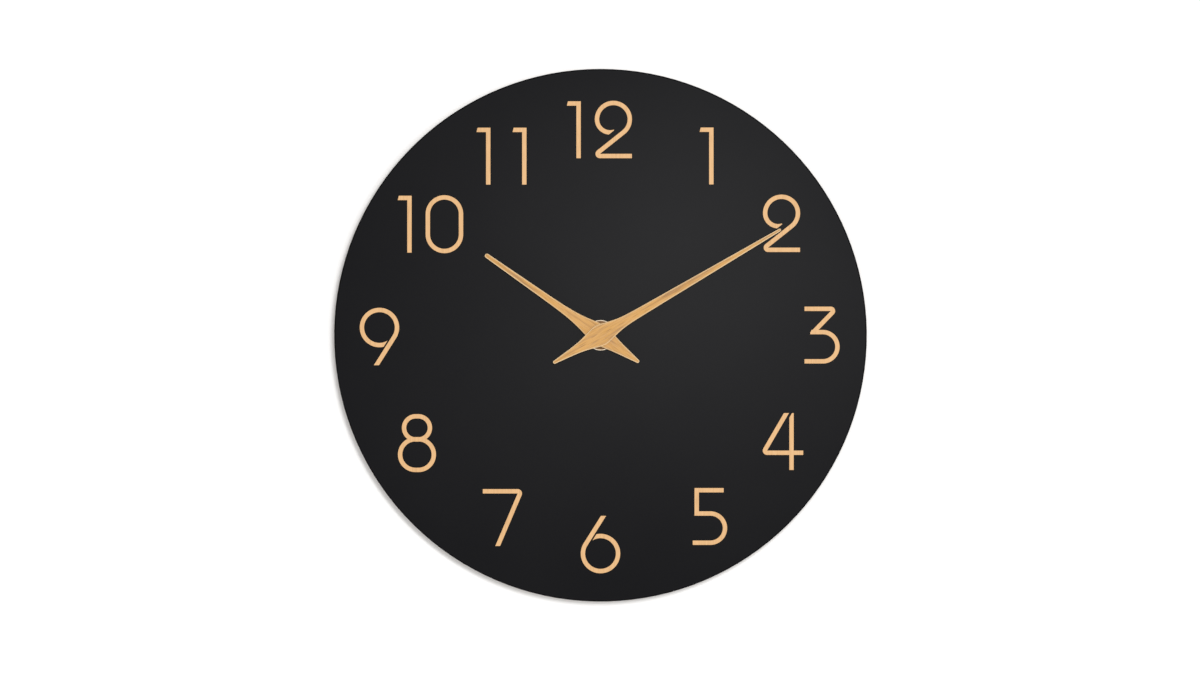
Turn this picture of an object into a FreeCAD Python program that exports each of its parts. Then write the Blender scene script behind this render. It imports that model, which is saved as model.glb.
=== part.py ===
import FreeCAD, Part
import math
import os

from FreeCAD import Vector

# Round wall clock with a battery movement, at rest at about ten past ten.
# All lengths are in millimetres. +Z is up, the front faces -Y, and the wall is the plane Y = 0.
# The origin is on the axis of the hands, in the plane of the movement's rear cover.

# ---- Dial board and numerals ----
dial_diameter = 300.0
dial_thickness = 5.0
dial_front_rounding = 0.8
dial_rear_rounding = 0.3
numeral_height = 32.0
numeral_stroke = 2.45
numeral_thickness = 0.5
numeral_inset = 32.0            # from the dial's edge to the ring that the numerals stand on
digit_gap = 7.9                 # between the two digits of 10 and 12
double_one_gap = 12.5           # between the two digits of 11
diagonal_gap_two = 2.9          # slots that part a digit's bowl or stem from its diagonal
diagonal_gap_four = 1.5
diagonal_gap_six = 0.9

# ---- Hands ----
hour_shown = 10
minute_shown = 9.93
hand_thickness = 1.4
hand_edge_chamfer = 0.45
hand_hub_half_width = 6.0
minute_hand_length = 117.2
minute_hand_tail = 30.7
hour_hand_length = 79.0
hour_hand_tail = 26.4
minute_tip_radius = 0.75
hour_tip_radius = 1.2
tail_tip_radius = 0.8

# ---- Centre bush, nut and washers ----
bush_radius = 4.0
bush_wall = 1.45
bush_flange_radius = 5.2
bush_flange_thickness = 0.4
bush_beyond_nut = 0.5
nut_across_flats = 12.0
nut_thickness = 2.0
dial_washer_radius = 8.6
dial_washer_thickness = 0.8
rubber_washer_radius = 11.0
rubber_washer_thickness = 1.0
bush_hole_clearance = 0.1

# ---- Shafts of the hands ----
minute_arbor_radius = 1.65
minute_arbor_rear_radius = 1.2
minute_arbor_end_radius = 1.0
hand_bush_wall = 0.7
hand_bush_flange_radius = 4.7
hand_bush_flange_thickness = 0.5
minute_bush_length = 1.3
hand_gap = 0.4                  # along the axis, between what turns and what it passes

# ---- Movement case ----
case_wall = 1.2
case_corner_radius = 2.0
cover_thickness = 1.2
plate_thickness = 1.0
corner_post_width = 3.2
cover_peg_radius = 0.85
cover_peg_length = 4.0
ledge_width = 1.5
ledge_height = 4.0
ledge_post_gap = 1.0
seat_clearance = 0.2            # round the middle plate and the setting knob
cover_gap = 1.6                 # least room between the last wheel and the rear cover
cavity_floor_gap = 0.8          # below the lowest wheel

# ---- Gear train ----
rotor_module = 0.20
rotor_pinion_teeth = 8
intermediate_wheel_teeth = 60
intermediate_pinion_teeth = 10
second_wheel_teeth = 40
third_module = 0.25
second_pinion_teeth = 8
third_wheel_teeth = 60
third_pinion_teeth = 8
centre_wheel_teeth = 64
cannon_pinion_teeth = 12
motion_wheel_teeth = 36
motion_pinion_teeth = 10
hour_wheel_teeth = 40
wheel_thickness = 0.6
motion_wheel_thickness = 0.8
hour_wheel_thickness = 1.0
pinion_overhang = 0.2           # how far a pinion stands out past the wheel that it drives
hub_radius = 2.2
arbor_radius = 0.5
pivot_radius = 0.4
pivot_length = 0.6
main_pivot_radius = 0.6
running_clearance = 0.04
motion_arbor_radius = 1.0
arbor_passing_gap = 0.4         # between a wheel's teeth and an arbor that passes it
plane_gap = 0.6                 # between wheels in neighbouring planes
end_shake = 0.1
friction_spring_thickness = 0.2
friction_spring_radius = 1.9
friction_collar_thickness = 0.5
friction_collar_radius = 1.7

# Directions of the arbors, anticlockwise from +X as seen from the front.
third_direction = 165.0         # from the centre
second_direction = 50.0         # from the third arbor
intermediate_direction = 5.0    # from the second arbor
rotor_direction = 0.0           # from the intermediate arbor
motion_direction = -10.0        # from the centre

# ---- Stepping motor ----
magnet_radius = 2.8
magnet_length = 2.4
magnet_air_gap = 0.3
rotor_shaft_radius = 0.6
stator_thickness = 0.8
stator_neck = 0.5
stator_slot_width = 2.1
stator_block_width = 8.4
stator_bar_height = 3.2
core_thickness = 1.0
core_width = 2.4
core_tab_width = 4.4
core_tab_length = 3.2
coil_rise = 12.3                # from the rotor's axis up to the coil's axis
coil_tube_radius = 2.0
coil_winding_radius = 3.5
coil_flange_radius = 3.8
coil_flange_thickness = 0.8
coil_length = 16.0
coil_case_gap = 1.0
screw_radius = 0.8
screw_head_radius = 1.5
screw_head_height = 0.6
screw_grip = 1.7
screw_post_radius = 1.6

# ---- Circuit board ----
board_width = 7.4
board_thickness = 0.8
board_edge_gap = 0.4
board_post_radius = 1.0
chip_radius = 2.2
chip_height = 0.9
crystal_radius = 1.0
crystal_length = 6.0

# ---- Battery and contacts ----
battery_diameter = 14.5
battery_play = 0.3
battery_body_length = 49.2
battery_nub_radius = 2.6
battery_nub_length = 1.3
battery_rim_rounding = 0.4
contact_thickness = 0.3
contact_leaf_reach = 2.5
contact_plate_width = 8.0
contact_strip_width = 2.4
contact_solder_length = 2.0

# ---- Setting knob ----
knob_radius = 4.6
knob_thickness = 1.9
knob_sink = 0.3                 # from the wall plane to the knob's face
knob_knurls = 28
knob_knurl_depth = 0.3
knob_bore_depth = 1.3

# ---- Hanger bracket ----
bracket_thickness = 1.0
bracket_width = 18.0
bracket_below_axis = 9.0
bracket_case_gap = 1.0
bracket_wall_gap = 1.5
bracket_bend_radius = 0.8
hanger_hole_radius = 3.25
hanger_hole_rise = 10.0         # from the shelf of the bracket up to the hole
hanger_margin = 5.5             # from the hole's centre to the top of the tab


# ---- Shapes ----

def point(x, z, y=0.0):
    return Vector(x, y, z)


def polar(radius, degrees):
    """Offset in X and Z, anticlockwise from +X as seen from the front."""
    return radius * math.cos(math.radians(degrees)), radius * math.sin(math.radians(degrees))


def prism(outline, y_front, y_rear):
    """Straight-sided solid over a list of (x, z) points."""
    corners = [point(x, z, y_front) for x, z in outline]
    face = Part.Face(Part.makePolygon(corners + corners[:1]))
    return face.extrude(Vector(0, y_rear - y_front, 0))


def cylinder(radius, centre, y_front, y_rear):
    start = point(centre[0], centre[1], y_front)
    return Part.makeCylinder(radius, y_rear - y_front, start, Vector(0, 1, 0))


def tube(outer, inner, centre, y_front, y_rear):
    return cylinder(outer, centre, y_front, y_rear).cut(cylinder(inner, centre, y_front, y_rear))


def block(x_range, y_range, z_range):
    size = [high - low for low, high in (x_range, y_range, z_range)]
    return Part.makeBox(*size, Vector(x_range[0], y_range[0], z_range[0]))


def fuse(shapes):
    """One solid from several that touch or overlap."""
    body = shapes[0]
    for shape in shapes[1:]:
        body = body.fuse(shape)
    return body.removeSplitter()


def cut_all(body, tools):
    for tool in tools:
        body = body.cut(tool)
    return body


def edges_where(shape, test):
    return [edge for edge in shape.Edges if test(edge)]


def along_y(edge):
    start, end = edge.Vertexes[0].Point, edge.Vertexes[-1].Point
    straight = isinstance(edge.Curve, Part.Line)
    return straight and abs(start.x - end.x) < 1e-6 and abs(start.z - end.z) < 1e-6


nodes = {}


def keep(name, *solids):
    nodes[name] = Part.makeCompound(list(solids)) if len(solids) > 1 else solids[0]


# ---- Gear sizes ----

tooth_addendum = 1.0            # in modules, as is the next
tooth_dedendum = 1.3


def tip_radius(module, teeth):
    return module * (teeth / 2 + tooth_addendum)


def centre_distance(module, teeth, other_teeth):
    return module * (teeth + other_teeth) / 2


def module_for(distance, teeth, other_teeth):
    return 2 * distance / (teeth + other_teeth)


# Each distance leaves room for an arbor to pass the wheel of the mesh before it.
rotor_distance = centre_distance(rotor_module, rotor_pinion_teeth, intermediate_wheel_teeth)
intermediate_tip = tip_radius(rotor_module, intermediate_wheel_teeth)
intermediate_distance = intermediate_tip + arbor_radius + arbor_passing_gap
second_module = module_for(intermediate_distance, intermediate_pinion_teeth, second_wheel_teeth)
second_distance = centre_distance(third_module, second_pinion_teeth, third_wheel_teeth)
third_tip = tip_radius(third_module, third_wheel_teeth)
third_distance = third_tip + minute_arbor_rear_radius + arbor_passing_gap
centre_module = module_for(third_distance, third_pinion_teeth, centre_wheel_teeth)
centre_tip = tip_radius(centre_module, centre_wheel_teeth)
motion_distance = centre_tip + motion_arbor_radius + arbor_passing_gap
motion_module = module_for(motion_distance, cannon_pinion_teeth, motion_wheel_teeth)
hour_module = module_for(motion_distance, motion_pinion_teeth, hour_wheel_teeth)
motion_tip = tip_radius(motion_module, motion_wheel_teeth)


def beside(place, distance, direction):
    dx, dz = polar(distance, direction)
    return place[0] + dx, place[1] + dz


centre_place = (0.0, 0.0)
third_place = beside(centre_place, third_distance, third_direction)
second_place = beside(third_place, second_distance, second_direction)
intermediate_place = beside(second_place, intermediate_distance, intermediate_direction)
rotor_place = beside(intermediate_place, rotor_distance, rotor_direction)
motion_place = beside(centre_place, motion_distance, motion_direction)
train_places = [third_place, second_place, intermediate_place, rotor_place]

# ---- Places along the axis, from the case's front wall to the rear ----

cavity_stack = (bush_flange_thickness + plane_gap / 2 + hour_wheel_thickness + plane_gap
                + motion_wheel_thickness + plane_gap + plate_thickness)
friction_stack = friction_spring_thickness + friction_collar_thickness
train_stack = 4.5 * plane_gap + 4 * wheel_thickness + friction_stack + stator_thickness
case_depth = max(case_wall + battery_diameter + battery_play,
                 case_wall + cavity_stack + train_stack + cover_gap + cover_thickness)

y_cover_in = -cover_thickness
y_case_front = -case_depth
y_in = y_case_front + case_wall
y_hour_front = y_in + bush_flange_thickness + plane_gap / 2
y_hour_rear = y_hour_front + hour_wheel_thickness
y_motion_front = y_hour_rear + plane_gap
y_motion_rear = y_motion_front + motion_wheel_thickness
y_plate_front = y_motion_rear + plane_gap
y_plate_rear = y_plate_front + plate_thickness
y_centre_front = y_plate_rear + plane_gap
y_centre_rear = y_centre_front + wheel_thickness
y_collar_front = y_centre_rear + friction_spring_thickness
y_collar_rear = y_collar_front + friction_collar_thickness
y_third_front = y_collar_rear + plane_gap
y_third_rear = y_third_front + wheel_thickness
y_stator_front = y_third_rear + plane_gap / 2
y_stator_rear = y_stator_front + stator_thickness
y_second_front = y_stator_rear + plane_gap
y_second_rear = y_second_front + wheel_thickness
y_intermediate_front = y_second_rear + plane_gap
y_intermediate_rear = y_intermediate_front + wheel_thickness
y_board_front = y_stator_rear + plane_gap / 2
y_board_rear = y_board_front + board_thickness
y_knob_rear = -knob_sink
y_knob_front = y_knob_rear - knob_thickness
y_well_floor = y_knob_front - 2 * seat_clearance

# ---- Places along the axis, from the case's front wall to the hands ----

y_bracket_front = y_case_front - bracket_thickness
y_dial_rear = y_bracket_front - rubber_washer_thickness
y_dial_front = y_dial_rear - dial_thickness
y_washer_front = y_dial_front - dial_washer_thickness
y_nut_front = y_washer_front - nut_thickness
y_bush_end = y_nut_front - bush_beyond_nut
y_hour_hand_rear = y_bush_end - hand_gap - hand_bush_flange_thickness
y_hour_hand_front = y_hour_hand_rear - hand_thickness
y_minute_hand_rear = y_hour_hand_front - hand_gap - minute_bush_length
y_minute_hand_front = y_minute_hand_rear - hand_thickness

bush_bore = bush_radius - bush_wall
hour_tube_radius = bush_bore - running_clearance
hour_tube_bore = minute_arbor_radius + running_clearance
bush_hole_radius = bush_radius + bush_hole_clearance

# ---- Coil, circuit board and the case's inner size ----

coil_x = rotor_place[0]
coil_z = rotor_place[1] + coil_rise
core_half_length = coil_length / 2 + core_tab_length + plane_gap / 2
tab_offset = core_half_length - core_tab_length / 2
stator_hole_radius = magnet_radius + magnet_air_gap

battery_half_bay = (battery_body_length + battery_nub_length + contact_leaf_reach) / 2 + contact_thickness
coil_half_case = coil_x + core_half_length + coil_case_gap
board_half_case = coil_x + stator_block_width / 2 + board_width + 2 * board_edge_gap
train_half_case = third_tip - third_place[0] + plane_gap
inner_half = max(battery_half_bay, coil_half_case, board_half_case, train_half_case)
inner_top = coil_z + coil_flange_radius + coil_case_gap
lowest_wheel = min(motion_place[1] - motion_tip, third_place[1] - third_tip, -centre_tip)
inner_bottom = lowest_wheel - cavity_floor_gap
bay_top = inner_bottom - case_wall
bay_bottom = bay_top - battery_diameter - battery_play
case_half = inner_half + case_wall
case_top = inner_top + case_wall
case_bottom = bay_bottom - case_wall

battery_place = ((bay_top + bay_bottom) / 2, y_in + (battery_diameter + battery_play) / 2)
stator_bar_bottom = rotor_place[1] + stator_hole_radius + stator_neck + 1.0
stator_bar_top = stator_bar_bottom + stator_bar_height
board_right = inner_half - board_edge_gap
board_left = board_right - board_width
board_bottom = inner_bottom + corner_post_width + board_edge_gap
board_top = stator_bar_bottom - board_edge_gap


# ---- Dial board ----

def dial_board():
    board = cylinder(dial_diameter / 2, centre_place, y_dial_front, y_dial_rear)
    rims = {y_dial_front: dial_front_rounding, y_dial_rear: dial_rear_rounding}
    for y_rim, rounding in rims.items():
        rim = edges_where(board, lambda edge: abs(edge.BoundBox.YMin - y_rim) < 1e-4 and not along_y(edge)
                          and abs(edge.BoundBox.YMax - y_rim) < 1e-4)
        board = board.makeFillet(rounding, rim)
    return board.cut(cylinder(bush_hole_radius, centre_place, y_dial_front, y_dial_rear))


# ---- Numerals ----
# Each digit is drawn upright from its lower left corner, on a grid of 32 units to its height.

grid = numeral_height / 32
stroke = numeral_stroke
overshoot = 0.3 * grid
far = 2 * numeral_height
bowl_radius = 9.45 * grid


def flat(outline):
    return prism(outline, -numeral_thickness, 0)


def bar(left, right, low, high):
    return flat([(left, low), (right, low), (right, high), (left, high)])


def trimmed(shape, low, high):
    """What lies between two heights."""
    return shape.common(bar(-2 * far, 2 * far, low, high))


def band(start, degrees, length, left, right):
    """Bar along a direction, reaching from one offset on its left to another on its right."""
    ahead = polar(1, degrees)
    aside = polar(1, degrees + 90)
    corners = [(0, left), (0, -right), (length, -right), (length, left)]
    return flat([(start[0] + ahead[0] * along + aside[0] * across, start[1] + ahead[1] * along
                  + aside[1] * across) for along, across in corners])


def round_bar(centre, width, height):
    """Stadium: a bar with half-round ends on its shorter sides."""
    radius = min(width, height) / 2
    reach_x, reach_z = width / 2 - radius, height / 2 - radius
    places = [(centre[0] + sign * reach_x, centre[1] + sign * reach_z) for sign in (-1, 1)]
    ends = [cylinder(radius, place, -numeral_thickness, 0) for place in places]
    if reach_x > reach_z:
        ends.append(bar(centre[0] - reach_x, centre[0] + reach_x, centre[1] - radius, centre[1] + radius))
    elif reach_z > reach_x:
        ends.append(bar(centre[0] - radius, centre[0] + radius, centre[1] - reach_z, centre[1] + reach_z))
    return fuse(ends)


def round_loop(centre, width, height):
    hole = round_bar(centre, width - 2 * stroke, height - 2 * stroke)
    return round_bar(centre, width, height).cut(hole)


def arc(centre, radius, start, end):
    ends = [polar(radius, angle) for angle in (start, (start + end) / 2, end)]
    return Part.Arc(*[point(centre[0] + x, centre[1] + z) for x, z in ends]).toShape()


def line(start, end):
    return Part.LineSegment(start, end).toShape()


def sector(centre, outer, inner, start, end):
    """Part of a disc or, with an inner radius, of a ring."""
    outside = arc(centre, outer, start, end)
    first, last = outside.firstVertex().Point, outside.lastVertex().Point
    if inner > 0:
        inside = arc(centre, inner, start, end)
        edges = [outside, line(last, inside.lastVertex().Point)]
        edges += [inside, line(inside.firstVertex().Point, first)]
    else:
        middle = point(*centre)
        edges = [outside, line(last, middle), line(middle, first)]
    face = Part.Face(Part.Wire(Part.__sortEdges__(edges)))
    return face.extrude(Vector(0, -numeral_thickness, 0))


def direction(start, end):
    return math.degrees(math.atan2(end[1] - start[1], end[0] - start[0]))


def tangent(start, centre, radius, side):
    """Direction and length of the tangent from a point to a circle; side is +1 to its left."""
    distance = math.dist(start, centre)
    degrees = direction(start, centre) + side * math.degrees(math.asin(radius / distance))
    return degrees, math.sqrt(distance ** 2 - radius ** 2)


def half_bowl(left):
    """The right half of a bowl on the base line, with its bars starting at the left."""
    centre = (left, bowl_radius)
    return sector(centre, bowl_radius, bowl_radius - stroke, -90, 90)


def digit_0():
    return round_loop((10.55 * grid, 16 * grid), 21.1 * grid, 32 * grid + 2 * overshoot)


def digit_1():
    right = 7.8 * grid
    top = 32 * grid
    stem = right - stroke
    flag = flat([(0, top - stroke), (stem, top - stroke), (stem, top), (0.6 * grid, top)])
    return fuse([bar(stem, right, 0, top), flag])


def digit_2():
    radius = 10.45 * grid
    centre = (radius, 32 * grid + overshoot - radius)
    corner = (2.85 * grid, stroke)
    degrees, length = tangent(corner, centre, radius, -1)
    bowl = sector(centre, radius, radius - stroke, degrees - 90, 180)
    curl_radius = 0.82 * radius
    curl = sector((curl_radius, centre[1]), curl_radius, curl_radius - stroke, 180, 290)
    curl = curl.cut(band(corner, degrees, far, stroke + diagonal_gap_two, far))
    diagonal = band(corner, degrees, length, stroke, 0)
    heel = sector(corner, stroke, 0, degrees + 90, 270)
    return fuse([bowl, curl, diagonal, heel, bar(corner[0], 20.85 * grid, 0, stroke)])


def digit_3():
    corner = (14.8 * grid, 32 * grid - stroke)
    degrees = 226
    waist = 2 * bowl_radius
    bowl_x = 10.3 * grid
    diagonal = trimmed(band(corner, degrees, far, stroke, 0), waist - stroke, 2 * far)
    waist_bar = flat([(3.2 * grid, waist - stroke), (bowl_x, waist - stroke),
                      (bowl_x, waist), (3.9 * grid, waist)])
    elbow = sector(corner, stroke, 0, degrees + 90 - 360, 90)
    diagonal = diagonal.cut(bar(-far, 3.2 * grid, -far, far))
    bars = [bar(0, corner[0], corner[1], corner[1] + stroke), bar(0, bowl_x, 0, stroke)]
    return fuse([diagonal, waist_bar, elbow, half_bowl(bowl_x)] + bars)


def digit_4():
    top = 32 * grid
    corner = (2.6 * grid, 10.9 * grid)
    degrees = direction(corner, (14.9 * grid, top))
    stem_left = 15.1 * grid
    diagonal = trimmed(band(corner, degrees, far, stroke, 0), 0, top)
    stem = bar(stem_left, stem_left + stroke, 0, top)
    stem = stem.cut(band(corner, degrees, far, far, diagonal_gap_four))
    heel = sector(corner, stroke, 0, degrees + 90, 270)
    crossbar = bar(corner[0], 22.9 * grid, corner[1] - stroke, corner[1])
    return fuse([crossbar, heel, diagonal, stem])


def digit_5():
    left, top = 1.0 * grid, 32 * grid
    bowl_x = 9.9 * grid
    waist = 2 * bowl_radius
    bars = [bar(left, 17.35 * grid, top - stroke, top), bar(left, left + stroke, waist - stroke, top),
            bar(left, bowl_x, waist - stroke, waist), bar(0, bowl_x, 0, stroke)]
    return fuse(bars + [half_bowl(bowl_x)])


def digit_6():
    radius = 11.1 * grid
    centre = (radius, radius - overshoot)
    top = (12.8 * grid, 32 * grid)
    degrees, length = tangent(top, centre, radius - stroke / 2, -1)
    ring = cylinder(radius, centre, -numeral_thickness, 0)
    ring = ring.cut(cylinder(radius - stroke, centre, -numeral_thickness, 0))
    touch = beside(top, length, degrees)
    ring = ring.cut(band(touch, degrees + 180, far, far, stroke / 2 + diagonal_gap_six))
    diagonal = trimmed(band(touch, degrees + 180, far, stroke / 2, stroke / 2), 0, top[1])
    return fuse([ring, diagonal])


def digit_7():
    corner = (19.6 * grid, 32 * grid - stroke)
    degrees = direction(corner, (7.05 * grid, 0))
    diagonal = trimmed(band(corner, degrees, far, stroke, 0), 0, 2 * far)
    elbow = sector(corner, stroke, 0, degrees + 90, 90)
    return fuse([diagonal, elbow, bar(0, corner[0], corner[1], corner[1] + stroke)])


def digit_8():
    middle = 10.7 * grid
    upper = round_loop((middle, 32 * grid + overshoot - 7.72 * grid), 17.0 * grid, 15.45 * grid)
    lower = round_loop((middle, 9.85 * grid - overshoot), 21.4 * grid, 19.7 * grid)
    return fuse([upper, lower])


def digit_9():
    nine = digit_6()
    nine.rotate(point(11.1 * grid, 16 * grid), Vector(0, 1, 0), 180)
    return nine


digits = [digit_0, digit_1, digit_2, digit_3, digit_4, digit_5, digit_6, digit_7, digit_8, digit_9]

# The numerals stand on a ring. Each is set off it by eye, across and up, to sit evenly in the dial.
numeral_offset = {1: (0.7, -1.3), 2: (-0.3, 4.0), 3: (6.7, 0.1), 4: (0.5, -0.8), 5: (2.6, 0.2),
                  6: (0.0, 0.2), 7: (3.8, -0.4), 8: (-1.1, -1.7), 9: (-6.4, -0.7), 10: (6.5, 3.5),
                  11: (3.3, -1.4), 12: (-0.6, -2.2)}


def numeral(hour):
    """The digits of an hour side by side, each a separate piece, at their place on the dial."""
    glyphs = [digits[int(figure)]() for figure in str(hour)]
    if len(glyphs) == 2:
        gap = double_one_gap if hour == 11 else digit_gap
        glyphs[1].translate(point(glyphs[0].BoundBox.XMax + gap * grid - glyphs[1].BoundBox.XMin, 0))
    box = Part.makeCompound(glyphs).BoundBox
    ring_x, ring_z = polar(dial_diameter / 2 - numeral_inset, 90 - 30 * hour)
    across, up = numeral_offset[hour]
    shift = point(ring_x + across - (box.XMin + box.XMax) / 2, ring_z + up - (box.ZMin + box.ZMax) / 2,
                  y_dial_front)
    for glyph in glyphs:
        glyph.translate(shift)
    return glyphs


# ---- Hands ----

def hand_side(length, tail, tip, tail_tip, blade, butt):
    """Half widths from the tail to the tip, as (distance from the axis, half width)."""
    places = [tail_tip - tail]
    places += [-fraction * tail for fraction in (0.85, 0.7, 0.55, 0.4, 0.28, 0.15)]
    places += [0]
    places += [fraction * length for fraction in (0.03, 0.06, 0.09, 0.13, 0.18, 0.25, 0.35, 0.5, 0.7, 0.85)]
    places += [length - tip]
    side = []
    for place in places:
        shape = blade + (tip, length) if place >= 0 else butt + (tail_tip, tail)
        root, flare_reach, power, end, reach = shape
        taper = root - (root - end) * abs(place) / reach
        flare = (hand_hub_half_width - root) * math.exp(-(abs(place) / flare_reach) ** power)
        side.append((place, taper + flare))
    return side


def hand(side, length, tail, degrees, y_front, y_rear):
    """Leaf-shaped blade along a direction, with a small bevel round its front face."""
    ahead = polar(1, degrees)
    aside = polar(1, degrees + 90)

    def spot(along, across):
        return point(ahead[0] * along + aside[0] * across, ahead[1] * along + aside[1] * across, y_front)

    flanks = []
    for sign in (1, -1):
        curve = Part.BSplineCurve()
        curve.interpolate([spot(along, sign * across) for along, across in side])
        flanks.append(curve.toShape())
    tip_end = [spot(side[-1][0], side[-1][1]), spot(length, 0), spot(side[-1][0], -side[-1][1])]
    tail_end = [spot(side[0][0], side[0][1]), spot(-tail, 0), spot(side[0][0], -side[0][1])]
    ends = [Part.Arc(*tip_end).toShape(), Part.Arc(*tail_end).toShape()]
    face = Part.Face(Part.Wire(Part.__sortEdges__(flanks + ends)))
    blade = face.extrude(Vector(0, y_rear - y_front, 0))
    rim = edges_where(blade, lambda edge: edge.BoundBox.YMax < y_front + 1e-4)
    return blade.makeChamfer(hand_edge_chamfer, rim)


minute_degrees = 90 - 6 * minute_shown
hour_degrees = 90 - 30 * (hour_shown + minute_shown / 60)

# Blade and tail: half width at the hub without its flare, the flare's reach, and its power.
minute_side = hand_side(minute_hand_length, minute_hand_tail, minute_tip_radius, tail_tip_radius,
                        (2.95, 9.6, 1.75), (4.0, 9.2, 2.0))
hour_side = hand_side(hour_hand_length, hour_hand_tail, hour_tip_radius, tail_tip_radius,
                      (2.42, 13.0, 1.6), (5.3, 8.0, 2.0))


def hand_bush(inner, outer, y_flange_front, y_socket_front, y_socket_rear):
    flange = tube(hand_bush_flange_radius, inner, centre_place, y_flange_front,
                  y_flange_front + hand_bush_flange_thickness)
    return fuse([flange, tube(outer, inner, centre_place, y_socket_front, y_socket_rear)])


# ---- Gears ----

def gear_outline(centre, module, teeth, phase, shares):
    """Teeth with straight flanks. The shares are half widths at root, pitch circle and tip, in pitches."""
    radii = [module * (teeth / 2 - tooth_dedendum), module * teeth / 2, tip_radius(module, teeth)]
    pitch = 360 / teeth
    outline = []
    for tooth in range(teeth):
        middle = phase + tooth * pitch
        rising = [(radius, middle - share * pitch) for radius, share in zip(radii, shares)]
        falling = [(radius, middle + share * pitch) for radius, share in zip(radii, shares)]
        outline += [beside(centre, *spot) for spot in rising + falling[::-1]]
    return outline


wheel_shares = (0.25, 0.21, 0.07)
pinion_shares = (0.20, 0.19, 0.06)


def mesh_phase(phase, teeth, degrees, driven_teeth):
    """Phase of a driven gear that lies in a direction, so that its gaps meet the driver's teeth."""
    turned = (phase - degrees) * teeth / 360
    return degrees + 180 + (0.5 - turned) * 360 / driven_teeth


intermediate_phase = mesh_phase(0, rotor_pinion_teeth, rotor_direction + 180, intermediate_wheel_teeth)
second_phase = mesh_phase(0, intermediate_pinion_teeth, intermediate_direction + 180, second_wheel_teeth)
third_phase = mesh_phase(0, second_pinion_teeth, second_direction + 180, third_wheel_teeth)
centre_phase = mesh_phase(0, third_pinion_teeth, third_direction + 180, centre_wheel_teeth)
motion_phase = mesh_phase(0, cannon_pinion_teeth, motion_direction, motion_wheel_teeth)
hour_phase = mesh_phase(0, motion_pinion_teeth, motion_direction + 180, hour_wheel_teeth)


def wheel(centre, module, teeth, phase, y_front, y_rear):
    return prism(gear_outline(centre, module, teeth, phase, wheel_shares), y_front, y_rear)


def pinion(centre, module, teeth, y_front, y_rear):
    return prism(gear_outline(centre, module, teeth, 0, pinion_shares), y_front, y_rear)


def arbor(centre, radius):
    """Shaft between the middle plate and the rear cover, with a pivot at each end."""
    y_front, y_rear = y_plate_rear + end_shake, y_cover_in - end_shake
    return [cylinder(radius, centre, y_front, y_rear),
            cylinder(pivot_radius, centre, y_front - pivot_length, y_rear + pivot_length)]


def train_wheel(centre, wheel_module, teeth, phase, y_wheel, pinion_module, pinion_teeth, y_driven):
    """A wheel and its pinion on one arbor. The pinion reaches across the wheel that it drives."""
    toothed = wheel(centre, wheel_module, teeth, phase, y_wheel, y_wheel + wheel_thickness)
    leaves = pinion(centre, pinion_module, pinion_teeth, y_driven - pinion_overhang,
                    y_driven + wheel_thickness + pinion_overhang)
    return fuse([toothed, leaves] + arbor(centre, arbor_radius))


def rotor_pinion():
    leaves = pinion(rotor_place, rotor_module, rotor_pinion_teeth, y_intermediate_front - pinion_overhang,
                    y_intermediate_rear + pinion_overhang)
    y_magnet = (y_stator_front + y_stator_rear - magnet_length) / 2
    seat = cylinder(rotor_shaft_radius, rotor_place, y_magnet, y_magnet + magnet_length)
    return fuse([leaves, seat] + arbor(rotor_place, arbor_radius))


def rotor_magnet():
    y_magnet = (y_stator_front + y_stator_rear - magnet_length) / 2
    return tube(magnet_radius, rotor_shaft_radius, rotor_place, y_magnet, y_magnet + magnet_length)


def centre_wheel():
    toothed = wheel(centre_place, centre_module, centre_wheel_teeth, centre_phase,
                    y_centre_front, y_centre_rear)
    hub = cylinder(hub_radius, centre_place, y_plate_rear + end_shake, y_centre_front)
    bore = cylinder(minute_arbor_rear_radius + running_clearance, centre_place, y_plate_rear, y_centre_rear)
    return fuse([toothed, hub]).cut(bore)


def minute_arbor():
    """Shaft of the minute hand, with the cannon pinion moulded on it."""
    y_pinion_front = y_motion_front - pinion_overhang
    y_pinion_rear = y_motion_rear + pinion_overhang
    leaves = pinion(centre_place, motion_module, cannon_pinion_teeth, y_pinion_front, y_pinion_rear)
    sections = [cylinder(minute_arbor_radius, centre_place, y_minute_hand_rear, y_pinion_front),
                cylinder(minute_arbor_rear_radius, centre_place, y_pinion_rear, y_collar_rear),
                cylinder(minute_arbor_end_radius, centre_place, y_collar_rear, y_cover_in - end_shake),
                cylinder(main_pivot_radius, centre_place, y_cover_in - end_shake,
                         y_cover_in - end_shake + pivot_length)]
    return fuse([leaves] + sections)


def hour_wheel():
    """Wheel and tube that turn on the minute arbor and carry the hour hand."""
    toothed = wheel(centre_place, hour_module, hour_wheel_teeth, hour_phase, y_hour_front, y_hour_rear)
    sleeve = cylinder(hour_tube_radius, centre_place, y_hour_hand_front, y_hour_front)
    bore = cylinder(hour_tube_bore, centre_place, y_hour_hand_front, y_hour_rear)
    return fuse([toothed, sleeve]).cut(bore)


def motion_wheel():
    """Wheel and pinion between the cannon pinion and the hour wheel, on the setting knob's arbor."""
    toothed = wheel(motion_place, motion_module, motion_wheel_teeth, motion_phase,
                    y_motion_front, y_motion_rear)
    y_pinion_front = y_in + end_shake
    leaves = pinion(motion_place, hour_module, motion_pinion_teeth, y_pinion_front, y_motion_front)
    shaft = cylinder(motion_arbor_radius, motion_place, y_motion_rear, y_knob_front + knob_bore_depth)
    pivot = cylinder(main_pivot_radius, motion_place, y_pinion_front - pivot_length, y_pinion_front)
    return fuse([leaves, toothed, shaft, pivot])


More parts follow.
